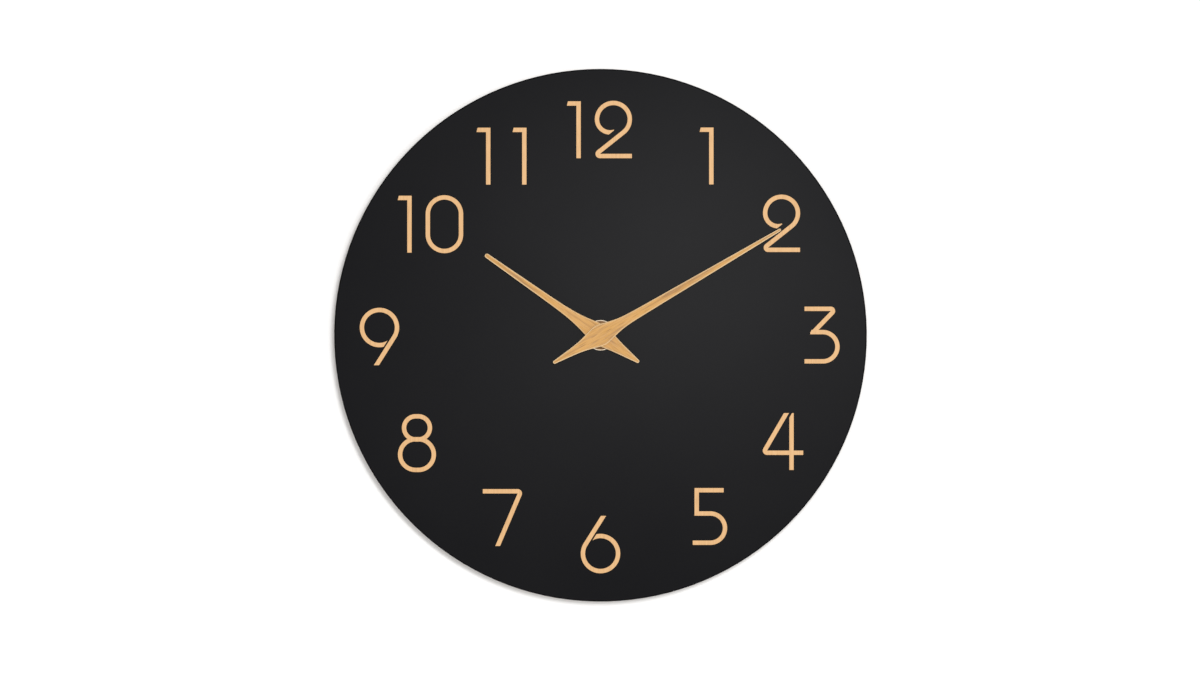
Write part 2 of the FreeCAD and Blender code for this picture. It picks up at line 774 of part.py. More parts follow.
def setting_knob():
    """Knurled knob, pressed on the end of its arbor, that sets the hands."""
    outline = []
    for knurl in range(knob_knurls):
        for depth, share in ((0, -0.3), (0, 0.3), (knob_knurl_depth, 0.5)):
            outline.append(beside(motion_place, knob_radius - depth, (knurl + share) * 360 / knob_knurls))
    knob = prism(outline, y_knob_front, y_knob_rear)
    bore = cylinder(motion_arbor_radius, motion_place, y_knob_front, y_knob_front + knob_bore_depth)
    return knob.cut(bore)


# ---- Case ----

def rounded_case_block(y_front, y_rear, z_low):
    """The case's outline, cut off below a height."""
    outer = block((-case_half, case_half), (y_front, y_rear), (case_bottom, case_top))
    outer = outer.makeFillet(case_corner_radius, edges_where(outer, along_y))
    return outer.common(block((-case_half, case_half), (y_front, y_rear), (z_low, case_top)))


def corner_posts(grow, y_front, y_rear):
    """Square posts in the four corners of the gear cavity."""
    width = corner_post_width + grow
    posts = []
    for x_range in ((-inner_half, width - inner_half), (inner_half - width, inner_half)):
        for z_range in ((inner_bottom, inner_bottom + width), (inner_top - width, inner_top)):
            posts.append(block(x_range, (y_front, y_rear), z_range))
    return posts


def cover_pegs():
    """Pegs of the rear cover, each in the middle of a corner post."""
    inset = corner_post_width / 2
    places = [(x, z) for x in (inset - inner_half, inner_half - inset)
              for z in (inner_bottom + inset, inner_top - inset)]
    return [cylinder(cover_peg_radius, place, y_cover_in - cover_peg_length, y_cover_in)
            for place in places]


def contact_slots():
    """Slots for the contact strips, past the wall over the battery bay and the lower corner posts."""
    y_range = (y_board_rear - seat_clearance, y_board_rear + contact_strip_width + seat_clearance)
    depth = contact_thickness + seat_clearance
    under_post = (-inner_half, corner_post_width - inner_half)
    return [block((-inner_half, depth - inner_half), y_range, (bay_top, inner_bottom + depth)),
            block(under_post, y_range, (inner_bottom, inner_bottom + depth)),
            block((inner_half - depth, inner_half), y_range, (bay_top, board_bottom))]


def movement_case():
    outer = rounded_case_block(y_case_front, 0, case_bottom)
    cavity = block((-inner_half, inner_half), (y_in, 0), (inner_bottom, inner_top))
    cavity = cut_all(cavity, corner_posts(0, y_in, 0))
    bay = block((-inner_half, inner_half), (y_in, 0), (bay_bottom, bay_top))
    cover_seat = block((-case_half, case_half), (y_cover_in, 0), (bay_top, case_top))
    case = cut_all(outer, [cavity, bay, cover_seat] + contact_slots())
    ledges = []
    low_ledge = inner_bottom + corner_post_width + ledge_post_gap
    high_ledge = inner_top - corner_post_width - ledge_post_gap - ledge_height
    for side in (-1, 1):
        for z_low in (low_ledge, high_ledge):
            x_range = sorted((side * inner_half, side * (inner_half - ledge_width)))
            ledges.append(block(x_range, (y_in, y_plate_front), (z_low, z_low + ledge_height)))
    case = fuse([case] + ledges)
    pivot_hole = cylinder(main_pivot_radius + running_clearance, motion_place,
                          y_in - pivot_length - end_shake, y_in)
    bush_hole = cylinder(bush_radius, centre_place, y_case_front, y_in)
    return cut_all(case, cover_pegs() + [pivot_hole, bush_hole])


def blind_bearings(places, radius):
    return [cylinder(radius + running_clearance, place, y_cover_in, y_cover_in + pivot_length)
            for place in places]


def rear_cover():
    """Lid over the gear cavity, with a well for the setting knob and four pegs."""
    plate = rounded_case_block(y_cover_in, 0, bay_top)
    well_radius = knob_radius + 2 * seat_clearance
    y_well_front = y_well_floor - case_wall
    cup = cylinder(well_radius + case_wall, motion_place, y_well_front, y_cover_in)
    cover = fuse([plate, cup] + cover_pegs())
    well = cylinder(well_radius, motion_place, y_well_floor, 0)
    knob_hole = cylinder(motion_arbor_radius + running_clearance, motion_place, y_well_front, y_well_floor)
    bearings = blind_bearings(train_places, pivot_radius)
    bearings += blind_bearings([centre_place], main_pivot_radius)
    return cut_all(cover, [well, knob_hole] + bearings)


def screw_places():
    return [(coil_x - tab_offset, coil_z), (coil_x + tab_offset, coil_z)]


def middle_plate():
    """Bearing plate in front of the gear train, with posts for the coil and the circuit board."""
    reach = inner_half - seat_clearance
    plate = block((-reach, reach), (y_plate_front, y_plate_rear),
                  (inner_bottom + seat_clearance, inner_top - seat_clearance))
    plate = cut_all(plate, corner_posts(seat_clearance, y_plate_front, y_plate_rear))
    posts = [cylinder(screw_post_radius, place, y_plate_rear, y_stator_front) for place in screw_places()]
    board_middle = (board_left + board_right) / 2
    for z_post in (board_bottom + 2 * board_post_radius, board_top - 2 * board_post_radius):
        posts.append(cylinder(board_post_radius, (board_middle, z_post), y_plate_rear, y_board_front))
    plate = fuse([plate] + posts)
    shafts = [(place, pivot_radius) for place in train_places]
    shafts += [(centre_place, minute_arbor_rear_radius), (motion_place, motion_arbor_radius)]
    holes = [cylinder(radius + running_clearance, place, y_plate_front, y_plate_rear)
             for place, radius in shafts]
    holes += [cylinder(screw_radius, place, y_stator_front - screw_grip, y_stator_front)
              for place in screw_places()]
    return cut_all(plate, holes)


# ---- Stepping motor ----

def stator_plate():
    """One flat plate with two legs. Thin necks beside the slots part the poles round the rotor."""
    low, high = rotor_place[1] - stator_block_width / 2, stator_bar_top
    y_range = (y_stator_front, y_stator_rear)
    half = stator_block_width / 2
    bar_range = (coil_x - core_half_length, coil_x + core_half_length)
    poles = [block((coil_x - half, coil_x + half), y_range, (low, high)),
             block(bar_range, y_range, (stator_bar_bottom, high))]
    for place in screw_places():
        x_range = (place[0] - core_tab_length / 2, place[0] + core_tab_length / 2)
        poles.append(block(x_range, y_range, (stator_bar_bottom, coil_z + core_tab_width / 2)))
    stator = fuse(poles).cut(cylinder(stator_hole_radius, rotor_place, *y_range))
    slot = (coil_x - stator_slot_width / 2, coil_x + stator_slot_width / 2)
    neck_top = rotor_place[1] + stator_hole_radius + stator_neck
    neck_bottom = rotor_place[1] - stator_hole_radius - stator_neck
    slots = [block(slot, y_range, (neck_top, high)), block(slot, y_range, (low, neck_bottom))]
    return cut_all(stator, slots + [cylinder(screw_radius, place, *y_range) for place in screw_places()])


def coil_core():
    y_range = (y_stator_rear, y_stator_rear + core_thickness)
    bars = [block((coil_x - core_half_length, coil_x + core_half_length), y_range,
                  (coil_z - core_width / 2, coil_z + core_width / 2))]
    for place in screw_places():
        bars.append(block((place[0] - core_tab_length / 2, place[0] + core_tab_length / 2), y_range,
                          (coil_z - core_tab_width / 2, coil_z + core_tab_width / 2)))
    return cut_all(fuse(bars), [cylinder(screw_radius, place, *y_range) for place in screw_places()])


def along_x(radius, x_low, x_high):
    y_axis = y_stator_rear + core_thickness / 2
    return Part.makeCylinder(radius, x_high - x_low, point(x_low, coil_z, y_axis), Vector(1, 0, 0))


def coil_bobbin():
    left, right = coil_x - coil_length / 2, coil_x + coil_length / 2
    body = fuse([along_x(coil_tube_radius, left, right),
                 along_x(coil_flange_radius, left, left + coil_flange_thickness),
                 along_x(coil_flange_radius, right - coil_flange_thickness, right)])
    return body.cut(block((left, right), (y_stator_rear, y_stator_rear + core_thickness),
                          (coil_z - core_width / 2, coil_z + core_width / 2)))


def coil_winding():
    left = coil_x - coil_length / 2 + coil_flange_thickness
    right = coil_x + coil_length / 2 - coil_flange_thickness
    return along_x(coil_winding_radius, left, right).cut(along_x(coil_tube_radius, left, right))


def stator_screws():
    y_head = y_stator_rear + core_thickness
    return [fuse([cylinder(screw_radius, place, y_stator_front - screw_grip, y_head),
                  cylinder(screw_head_radius, place, y_head, y_head + screw_head_height)])
            for place in screw_places()]


# ---- Circuit board ----

def circuit_board():
    return block((board_left, board_right), (y_board_front, y_board_rear), (board_bottom, board_top))


def driver_chip():
    """A low dome of potting over the chip."""
    ball_radius = (chip_radius ** 2 + chip_height ** 2) / (2 * chip_height)
    middle = point((board_left + board_right) / 2, board_bottom + 0.62 * (board_top - board_bottom),
                   y_board_rear + chip_height - ball_radius)
    ball = Part.makeSphere(ball_radius, middle)
    return ball.common(block((board_left, board_right), (y_board_rear, y_board_rear + chip_height),
                             (board_bottom, board_top)))


def quartz_crystal():
    middle = (board_left + board_right) / 2
    low = board_bottom + 0.2 * (board_top - board_bottom)
    foot = point(middle, low, y_board_rear + crystal_radius)
    return Part.makeCylinder(crystal_radius, crystal_length, foot, Vector(0, 0, 1))


# ---- Battery and contacts ----

def battery():
    z_axis, y_axis = battery_place
    left = contact_thickness + contact_leaf_reach - inner_half
    right = left + battery_body_length
    can = Part.makeCylinder(battery_diameter / 2, battery_body_length, point(left, z_axis, y_axis),
                            Vector(1, 0, 0))
    can = can.makeFillet(battery_rim_rounding, edges_where(can, lambda edge: edge.isClosed()))
    nub = Part.makeCylinder(battery_nub_radius, battery_nub_length, point(right, z_axis, y_axis),
                            Vector(1, 0, 0))
    return fuse([can, nub])


def contact_pad(x_range):
    half = contact_plate_width / 2
    z_axis, y_axis = battery_place
    return block(x_range, (y_axis - half, y_axis + half), (z_axis - half, z_axis + half))


def contact_strip(x_range, top):
    """Upright strip from the battery through the slot in the wall over its bay."""
    return block(x_range, (y_board_rear, y_board_rear + contact_strip_width), (battery_place[0], top))


def solder_tab(x_range, bottom):
    """Flat end on the rear face of the circuit board."""
    return block(x_range, (y_board_rear, y_board_rear + contact_thickness),
                 (bottom, board_bottom + contact_solder_length))


def positive_contact():
    x_range = (inner_half - contact_thickness, inner_half)
    strip = contact_strip(x_range, board_bottom + contact_solder_length)
    tab = solder_tab((board_right - contact_solder_length, inner_half), board_bottom)
    return fuse([contact_pad(x_range), strip, tab])


def negative_contact():
    """Stamped strip with a leaf on the battery and a long arm to the circuit board."""
    x_range = (-inner_half, contact_thickness - inner_half)
    z_axis, y_axis = battery_place
    wall, reach = x_range[1], contact_leaf_reach
    rise = contact_plate_width / 2
    leaf_outline = [(wall, z_axis + rise), (wall + reach, z_axis + 1), (wall + reach, z_axis - 1),
                    (wall + reach - contact_thickness, z_axis - 1),
                    (wall + reach - contact_thickness, z_axis + 1 - contact_thickness / 2),
                    (wall, z_axis + rise - 2 * contact_thickness)]
    leaf = prism(leaf_outline, y_axis - rise / 2, y_axis + rise / 2)
    arm_top = inner_bottom + contact_thickness
    tab_left = board_left + contact_thickness
    arm = block((-inner_half, tab_left + contact_solder_length),
                (y_board_rear, y_board_rear + contact_strip_width), (inner_bottom, arm_top))
    tab = solder_tab((tab_left, tab_left + contact_solder_length), inner_bottom)
    return fuse([contact_pad(x_range), leaf, contact_strip(x_range, arm_top), arm, tab])


# ---- Hanger, bush, nut and washers ----

def hanger_bracket():
    """Steel strip clamped in front of the case. It bends back over the case and up to a holed tab."""
    half = bracket_width / 2
    shelf_bottom = case_top + bracket_case_gap
    shelf_top = shelf_bottom + bracket_thickness
    y_tab_rear = -bracket_wall_gap
    y_tab_front = y_tab_rear - bracket_thickness
    hole_z = shelf_top + hanger_hole_rise
    tab_top = hole_z + hanger_margin
    leg = block((-half, half), (y_bracket_front, y_case_front), (-bracket_below_axis, shelf_top))
    shelf = block((-half, half), (y_bracket_front, y_tab_rear), (shelf_bottom, shelf_top))
    tab = block((-half, half), (y_tab_front, y_tab_rear), (shelf_bottom, tab_top))
    strip = fuse([leg, shelf, tab])

    def bend(y_edge, z_edge):
        line_place = Vector(0, y_edge, z_edge)
        return lambda edge: edge.BoundBox.XLength > half and (edge.BoundBox.Center - line_place).Length < 1e-3

    outer_bend = bracket_bend_radius + bracket_thickness
    for radius, y_edge, z_edge in ((bracket_bend_radius, y_case_front, shelf_bottom),
                                   (bracket_bend_radius, y_tab_front, shelf_top),
                                   (outer_bend, y_bracket_front, shelf_top),
                                   (outer_bend, y_tab_rear, shelf_bottom)):
        strip = strip.makeFillet(radius, edges_where(strip, bend(y_edge, z_edge)))
    ends = (tab_top, -bracket_below_axis)
    corners = edges_where(strip, lambda edge: along_y(edge)
                          and min(abs(edge.BoundBox.Center.z - end) for end in ends) < 1e-3)
    strip = strip.makeFillet(hanger_margin, corners)
    holes = [cylinder(bush_hole_radius, centre_place, y_bracket_front, y_case_front),
             cylinder(hanger_hole_radius, (0, hole_z), y_tab_front, y_tab_rear)]
    return cut_all(strip, holes)


def centre_bush():
    """Threaded bush, moulded in the case's front wall, that clamps the case to the dial board."""
    outside = cylinder(bush_radius, centre_place, y_bush_end, y_in)
    flange = cylinder(bush_flange_radius, centre_place, y_in, y_in + bush_flange_thickness)
    bore = cylinder(bush_bore, centre_place, y_bush_end, y_in + bush_flange_thickness)
    return fuse([outside, flange]).cut(bore)


def dial_nut():
    corner = nut_across_flats / 2 / math.cos(math.radians(30))
    hexagon = prism([polar(corner, 60 * side) for side in range(6)], y_nut_front, y_washer_front)
    return hexagon.cut(cylinder(bush_radius, centre_place, y_nut_front, y_washer_front))


def dial_washer():
    ring = tube(dial_washer_radius, bush_hole_radius, centre_place, y_washer_front, y_dial_front)
    rim = edges_where(ring, lambda edge: abs(edge.BoundBox.YMax - y_washer_front) < 1e-4
                      and edge.BoundBox.XMax > dial_washer_radius - 0.01)
    return ring.makeFillet(dial_washer_thickness / 2, rim)


# ---- Assembly ----

keep("dial_board", dial_board())
for hour in range(1, 13):
    keep(f"numeral_{hour:02d}", *numeral(hour))

keep("minute_hand", hand(minute_side, minute_hand_length, minute_hand_tail, minute_degrees,
                         y_minute_hand_front, y_minute_hand_rear))
minute_bush_radius = minute_arbor_radius + hand_bush_wall
keep("minute_hand_bush", hand_bush(minute_arbor_radius, minute_bush_radius, y_minute_hand_rear,
                                   y_minute_hand_rear, y_minute_hand_rear + minute_bush_length))
keep("minute_arbor", minute_arbor())
hour_bush_radius = hour_tube_radius + hand_bush_wall
keep("hour_hand", hand(hour_side, hour_hand_length, hour_hand_tail, hour_degrees, y_hour_hand_front,
                       y_hour_hand_rear).cut(cylinder(hour_bush_radius, centre_place, y_hour_hand_front,
                                                      y_hour_hand_rear)))
keep("hour_hand_bush", hand_bush(hour_tube_radius, hour_bush_radius, y_hour_hand_rear, y_hour_hand_front,
                                 y_hour_hand_rear + hand_bush_flange_thickness))
keep("hour_wheel", hour_wheel())

keep("dial_nut", dial_nut())
keep("dial_washer", dial_washer())
keep("rubber_washer", tube(rubber_washer_radius, bush_hole_radius, centre_place, y_dial_rear,
                           y_bracket_front))
keep("hanger_bracket", hanger_bracket())
keep("centre_bush", centre_bush())

keep("movement_case", movement_case())
keep("middle_plate", middle_plate())
keep("rear_cover", rear_cover())
keep("motion_wheel", motion_wheel())
keep("setting_knob", setting_knob())

keep("rotor_magnet", rotor_magnet())
keep("rotor_pinion", rotor_pinion())
keep("intermediate_wheel", train_wheel(intermediate_place, rotor_module, intermediate_wheel_teeth,
                                       intermediate_phase, y_intermediate_front, second_module,
                                       intermediate_pinion_teeth, y_second_front))
keep("second_wheel", train_wheel(second_place, second_module, second_wheel_teeth, second_phase,
                                 y_second_front, third_module, second_pinion_teeth, y_third_front))
keep("third_wheel", train_wheel(third_place, third_module, third_wheel_teeth, third_phase,
                                y_third_front, centre_module, third_pinion_teeth, y_centre_front))
keep("centre_wheel", centre_wheel())
keep("friction_spring", tube(friction_spring_radius, minute_arbor_rear_radius + running_clearance,
                             centre_place, y_centre_rear, y_collar_front))
keep("friction_collar", tube(friction_collar_radius, minute_arbor_rear_radius, centre_place, y_collar_front,
                             y_collar_rear))

keep("stator_plate", stator_plate())
keep("coil_core", coil_core())
keep("coil_bobbin", coil_bobbin())
keep("coil_winding", coil_winding())
keep("stator_screws", *stator_screws())
keep("circuit_board", circuit_board())
keep("driver_chip", driver_chip())
keep("quartz_crystal", quartz_crystal())
keep("battery", battery())
keep("positive_contact", positive_contact())
keep("negative_contact", negative_contact())

os.makedirs("parts", exist_ok=True)
for name, shape in nodes.items():
    shape.exportStep(f"parts/{name}.step")
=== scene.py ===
import logging
import math
from dataclasses import dataclass
from enum import Enum

import bmesh
import bpy
from mathutils import Matrix, Vector


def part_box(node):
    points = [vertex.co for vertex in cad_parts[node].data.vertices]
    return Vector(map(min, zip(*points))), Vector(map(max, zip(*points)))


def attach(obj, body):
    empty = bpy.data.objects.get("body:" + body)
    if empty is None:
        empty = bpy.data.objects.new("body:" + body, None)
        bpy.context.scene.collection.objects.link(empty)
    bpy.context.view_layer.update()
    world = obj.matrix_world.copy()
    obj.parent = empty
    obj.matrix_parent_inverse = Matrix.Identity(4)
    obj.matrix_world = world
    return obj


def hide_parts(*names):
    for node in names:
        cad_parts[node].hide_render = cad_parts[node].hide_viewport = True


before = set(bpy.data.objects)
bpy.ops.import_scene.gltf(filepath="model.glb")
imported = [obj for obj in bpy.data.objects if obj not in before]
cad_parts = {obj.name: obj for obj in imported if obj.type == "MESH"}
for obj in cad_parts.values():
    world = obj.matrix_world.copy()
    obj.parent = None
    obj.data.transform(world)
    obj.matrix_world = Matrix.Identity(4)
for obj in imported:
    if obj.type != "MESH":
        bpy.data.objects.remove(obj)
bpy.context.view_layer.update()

LOG = logging.getLogger("wall_clock")
MM = 0.001
Triple = tuple[float, float, float]
Colour = tuple[float, float, float]
Material = bpy.types.Material
Piece = bpy.types.Object
Socket = bpy.types.NodeSocket

RIGHT = Vector((1, 0, 0))
FRONT = Vector((0, -1, 0))
REAR = Vector((0, 1, 0))

# Spans of a noise that hold nearly all, or most, of its values.
BROAD = (0.3, 0.7)
NARROW = (0.35, 0.65)

# Sockets of a Mix node that mixes colours: factor, first, second; result.
MIX_INPUTS = (0, 6, 7)
MIX_OUTPUT = 2

# Turned pieces: steps in a turn, the radius below which a ring is a point, and the angle at which
# an edge stays sharp.
LATHE_STEPS = 72
POINT_RADIUS = 1e-7
SHARP_DEGREES = 35


class Body(Enum):
    """The body that the new pieces ride on."""

    CLOCK = "clock_body"


class Slot(Enum):
    """The record's material slots, named for the new pieces."""

    CASE = "black_plastic"
    SLEEVE = "battery_sleeve"
    CONTACT = "contact_steel"
    COPPER = "copper_wire"


# ---- Node trees ----


class TreeBuilder:
    """A node tree under construction."""

    prefix = ""

    def __init__(self, tree: bpy.types.NodeTree) -> None:
        """Take a tree over.

        Args:
            tree: The tree that nodes are added to.
        """
        self.tree = tree

    def feed(self, target: Socket, value: Socket | Colour | float) -> None:
        """Link an input, or set it to a constant.

        Args:
            target: The input.
            value: The output that feeds it, a colour, or a number.
        """
        if isinstance(value, Socket):
            self.tree.links.new(value, target)
        elif isinstance(value, tuple):
            target.default_value = (*value, 1.0)
        else:
            target.default_value = value

    def node(self, kind: str, *links: tuple[str, Socket], **values: object) -> bpy.types.Node:
        """Add a node.

        Args:
            kind: Blender's name of the node type, without the builder's prefix.
            links: Pairs of an input's name and the output that feeds it.
            values: Node properties, or input values where no property has that name.

        Returns:
            The new node.
        """
        made = self.tree.nodes.new(self.prefix + kind)
        for name, value in values.items():
            if hasattr(made, name):
                setattr(made, name, value)
            else:
                made.inputs[name].default_value = value
        for name, output in links:
            self.tree.links.new(output, made.inputs[name])
        return made


@dataclass(frozen=True)
class Noise:
    """A noise: cells to a metre, octaves, strength of the finer octaves, and how far it is pulled about."""

    scale: float
    detail: float = 3.0
    roughness: float = 0.5
    distortion: float = 0.0


class Shader(TreeBuilder):
    """A node material under construction, with one Principled shader."""

    prefix = "ShaderNode"

    def __init__(self, name: str) -> None:
        """Start an empty material.

        Args:
            name: Name of the material.
        """
        self.material = bpy.data.materials.new(name)
        self.material.use_nodes = True
        super().__init__(self.material.node_tree)
        self.tree.nodes.clear()
        self.surface = self.node("BsdfPrincipled")
        self.output = self.node("OutputMaterial")
        self.tree.links.new(self.surface.outputs[0], self.output.inputs[0])

    def place(self, turn: Triple = (0, 0, 0), stretch: Triple = (1, 1, 1)) -> Socket:
        """Object coordinates, turned, then stretched.

        Args:
            turn: Rotation as Euler angles in radians.
            stretch: Factor along each turned axis.

        Returns:
            The vector output.
        """
        source = self.node("TexCoord").outputs["Object"]
        turned = self.node("Mapping", ("Vector", source), Rotation=turn).outputs[0]
        return self.node("Mapping", ("Vector", turned), Scale=stretch).outputs[0]

    def radius(self) -> Socket:
        """Distance from the axis of the hands, in metres.

        Returns:
            The value output.
        """
        flat = self.place(stretch=(1, 0, 1))
        return self.node("VectorMath", ("Vector", flat), operation="LENGTH").outputs["Value"]

    def noise(self, vector: Socket, noise: Noise) -> Socket:
        """Noise from 0 to 1.

        Args:
            vector: Place to read the noise at.
            noise: What the noise is like.

        Returns:
            The factor output.
        """
        return self.node("TexNoise", ("Vector", vector), Scale=noise.scale, Detail=noise.detail,
                         Roughness=noise.roughness, Distortion=noise.distortion).outputs["Fac"]

    def ramp(self, factor: Socket, *stops: tuple[float, Colour]) -> Socket:
        """Colours along a factor.

        Args:
            factor: Where on the ramp to read.
            stops: Pairs of a position from 0 to 1 and a colour.

        Returns:
            The colour output.
        """
        made = self.node("ValToRGB", ("Fac", factor))
        elements = made.color_ramp.elements
        while len(elements) < len(stops):
            elements.new(0.5)
        for element, (position, colour) in zip(elements, stops):
            element.position = position
            element.color = (*colour, 1.0)
        return made.outputs["Color"]

    def remap(self, factor: Socket, low: float, high: float, start: float = 0.0,
              end: float = 1.0) -> Socket:
        """Spread a factor over another range.

        Args:
            factor: The value to spread.
            low: Result at the start.
            high: Result at the end.
            start: Factor that gives the low result.
            end: Factor that gives the high result.

        Returns:
            The result output.
        """
        made = self.node("MapRange", ("Value", factor))
        for name, value in (("From Min", start), ("From Max", end), ("To Min", low), ("To Max", high)):
            made.inputs[name].default_value = value
        return made.outputs["Result"]

    def total(self, *shares: tuple[Socket, float, float, float, float]) -> Socket:
        """Add factors up, each spread over its own range.

        Args:
            shares: What remap takes, for each factor.

        Returns:
            The value output.
        """
        result, *others = [self.remap(*share) for share in shares]
        for other in others:
            result = self.maths("ADD", result, other)
        return result

    def maths(self, operation: str, first: Socket, second: Socket | float) -> Socket:
        """Combine two numbers.

        Args:
            operation: Blender's name of the operation.
            first: The first number.
            second: The second number, as an output or a constant.

        Returns:
            The value output.
        """
        made = self.node("Math", operation=operation)
        self.feed(made.inputs[0], first)
        self.feed(made.inputs[1], second)
        return made.outputs[0]

    def mix(self, factor: Socket, first: Socket | Colour, second: Socket | Colour) -> Socket:
        """Mix two colours.

        Args:
            factor: Share of the second colour.
            first: The first colour, as an output or a constant.
            second: The second colour, as an output or a constant.

        Returns:
            The colour output.
        """
        made = self.node("Mix", data_type="RGBA")
        for index, value in zip(MIX_INPUTS, (factor, first, second)):
            self.feed(made.inputs[index], value)
        return made.outputs[MIX_OUTPUT]

    def facing(self, axis: Vector) -> Socket:
        """How squarely the surface faces along an axis of the clock, from -1 to 1.

        Args:
            axis: Unit vector.

        Returns:
            The value output.
        """
        made = self.node("VectorMath", operation="DOT_PRODUCT")
        self.feed(made.inputs[0], self.node("TexCoord").outputs["Normal"])
        self.feed(made.inputs[1], axis)
        return made.outputs["Value"]

    def finish(self, colour: Socket, roughness: Socket, height: Socket, depth: float,
               **values: float) -> Material:
        """Connect the shader.

        Args:
            colour: Base colour.
            roughness: Roughness.
            height: Height for the bump, from 0 to 1.
            depth: Depth of the bump in metres.
            values: Other inputs of the shader, with underscores for spaces.

        Returns:
            The material.
        """
        bump = self.node("Bump", ("Height", height), Strength=1.0, Distance=depth).outputs["Normal"]
        for name, output in (("Base Color", colour), ("Roughness", roughness), ("Normal", bump)):
            self.tree.links.new(output, self.surface.inputs[name])
        for name, value in values.items():
            self.surface.inputs[name.replace("_", " ")].default_value = value
        return self.material


# ---- Finishes ----


@dataclass(frozen=True)
class WoodFinish:
    """Light, straight-grained wood whose edges are paler, partly as sanded wood and partly as a painted
    highlight on the bevels.
    """

    name: str
    light: Colour = (0.520, 0.260, 0.052)
    dark: Colour = (0.235, 0.098, 0.017)
    pore: Colour = (0.150, 0.060, 0.012)
    # Edge colour: partly paler sanded wood, partly a painted highlight on the bevels.
    pale_edge_and_highlight: Colour = (0.830, 0.600, 0.350)
    grain_degrees: float = 90.0
    figure: float = 1.0
    roughness: float = 0.52
    fibres: Noise = Noise(1700, 3, 0.6, 0.2)
    bands: Noise = Noise(620, 2, 0.5, 0.6)
    pores: Noise = Noise(3600, 1, 0.4)
    warp: Noise = Noise(60, 2)
    fibre_pull: float = 0.05
    pore_pull: float = 0.035
    warp_pull: float = 0.25
    pore_share: float = 0.55
    pale_edge_and_highlight_share: float = 0.9
    pore_depth: float = 0.5
    depth: float = 0.04 * MM

    def along(self, shader: Shader, pull: float) -> Socket:
        """Coordinates drawn out along the grain.

        Args:
            shader: Shader of the wood.
            pull: Factor along the grain; the smaller, the longer the pattern.

        Returns:
            The vector output.
        """
        return shader.place((0, math.radians(self.grain_degrees), 0), (pull, 1.0, 1.0))

    def build(self) -> Material:
        """Make the material.

        Returns:
            The material.
        """
        shader = Shader(self.name)
        grain = self.along(shader, self.fibre_pull)
        warp = shader.noise(self.along(shader, self.warp_pull), self.warp)
        fibres = shader.noise(grain, self.fibres)
        bands = shader.noise(grain, self.bands)
        pores = shader.noise(self.along(shader, self.pore_pull), self.pores)
        shade = shader.total((fibres, 0.0, 0.45, *BROAD), (bands, 0.0, 0.50, 0.36, 0.64),
                             (warp, 0.0, 0.15, *NARROW))
        shade = shader.remap(shade, 0.5 - 0.5 * self.figure, 0.5 + 0.5 * self.figure)
        colour = shader.ramp(shade, (0.0, self.dark), (0.55, self.light), (1.0, self.light))
        pore_mask = shader.remap(pores, self.pore_share * self.figure, 0.0, 0.30, 0.42)
        colour = shader.mix(pore_mask, colour, self.pore)
        # Faces turned away from the front take the edge colour: partly sanded wood, partly a painted
        # highlight where the bevels catch the light.
        rim = shader.remap(shader.facing(FRONT), self.pale_edge_and_highlight_share, 0.0, 0.72, 0.97)
        colour = shader.mix(rim, colour, self.pale_edge_and_highlight)
        height = shader.maths("SUBTRACT", fibres, shader.maths("MULTIPLY", pore_mask, self.pore_depth))
        rough = shader.remap(fibres, self.roughness - 0.07, self.roughness + 0.08, *BROAD)
        return shader.finish(colour, rough, height, self.depth, Specular_IOR_Level=0.35)


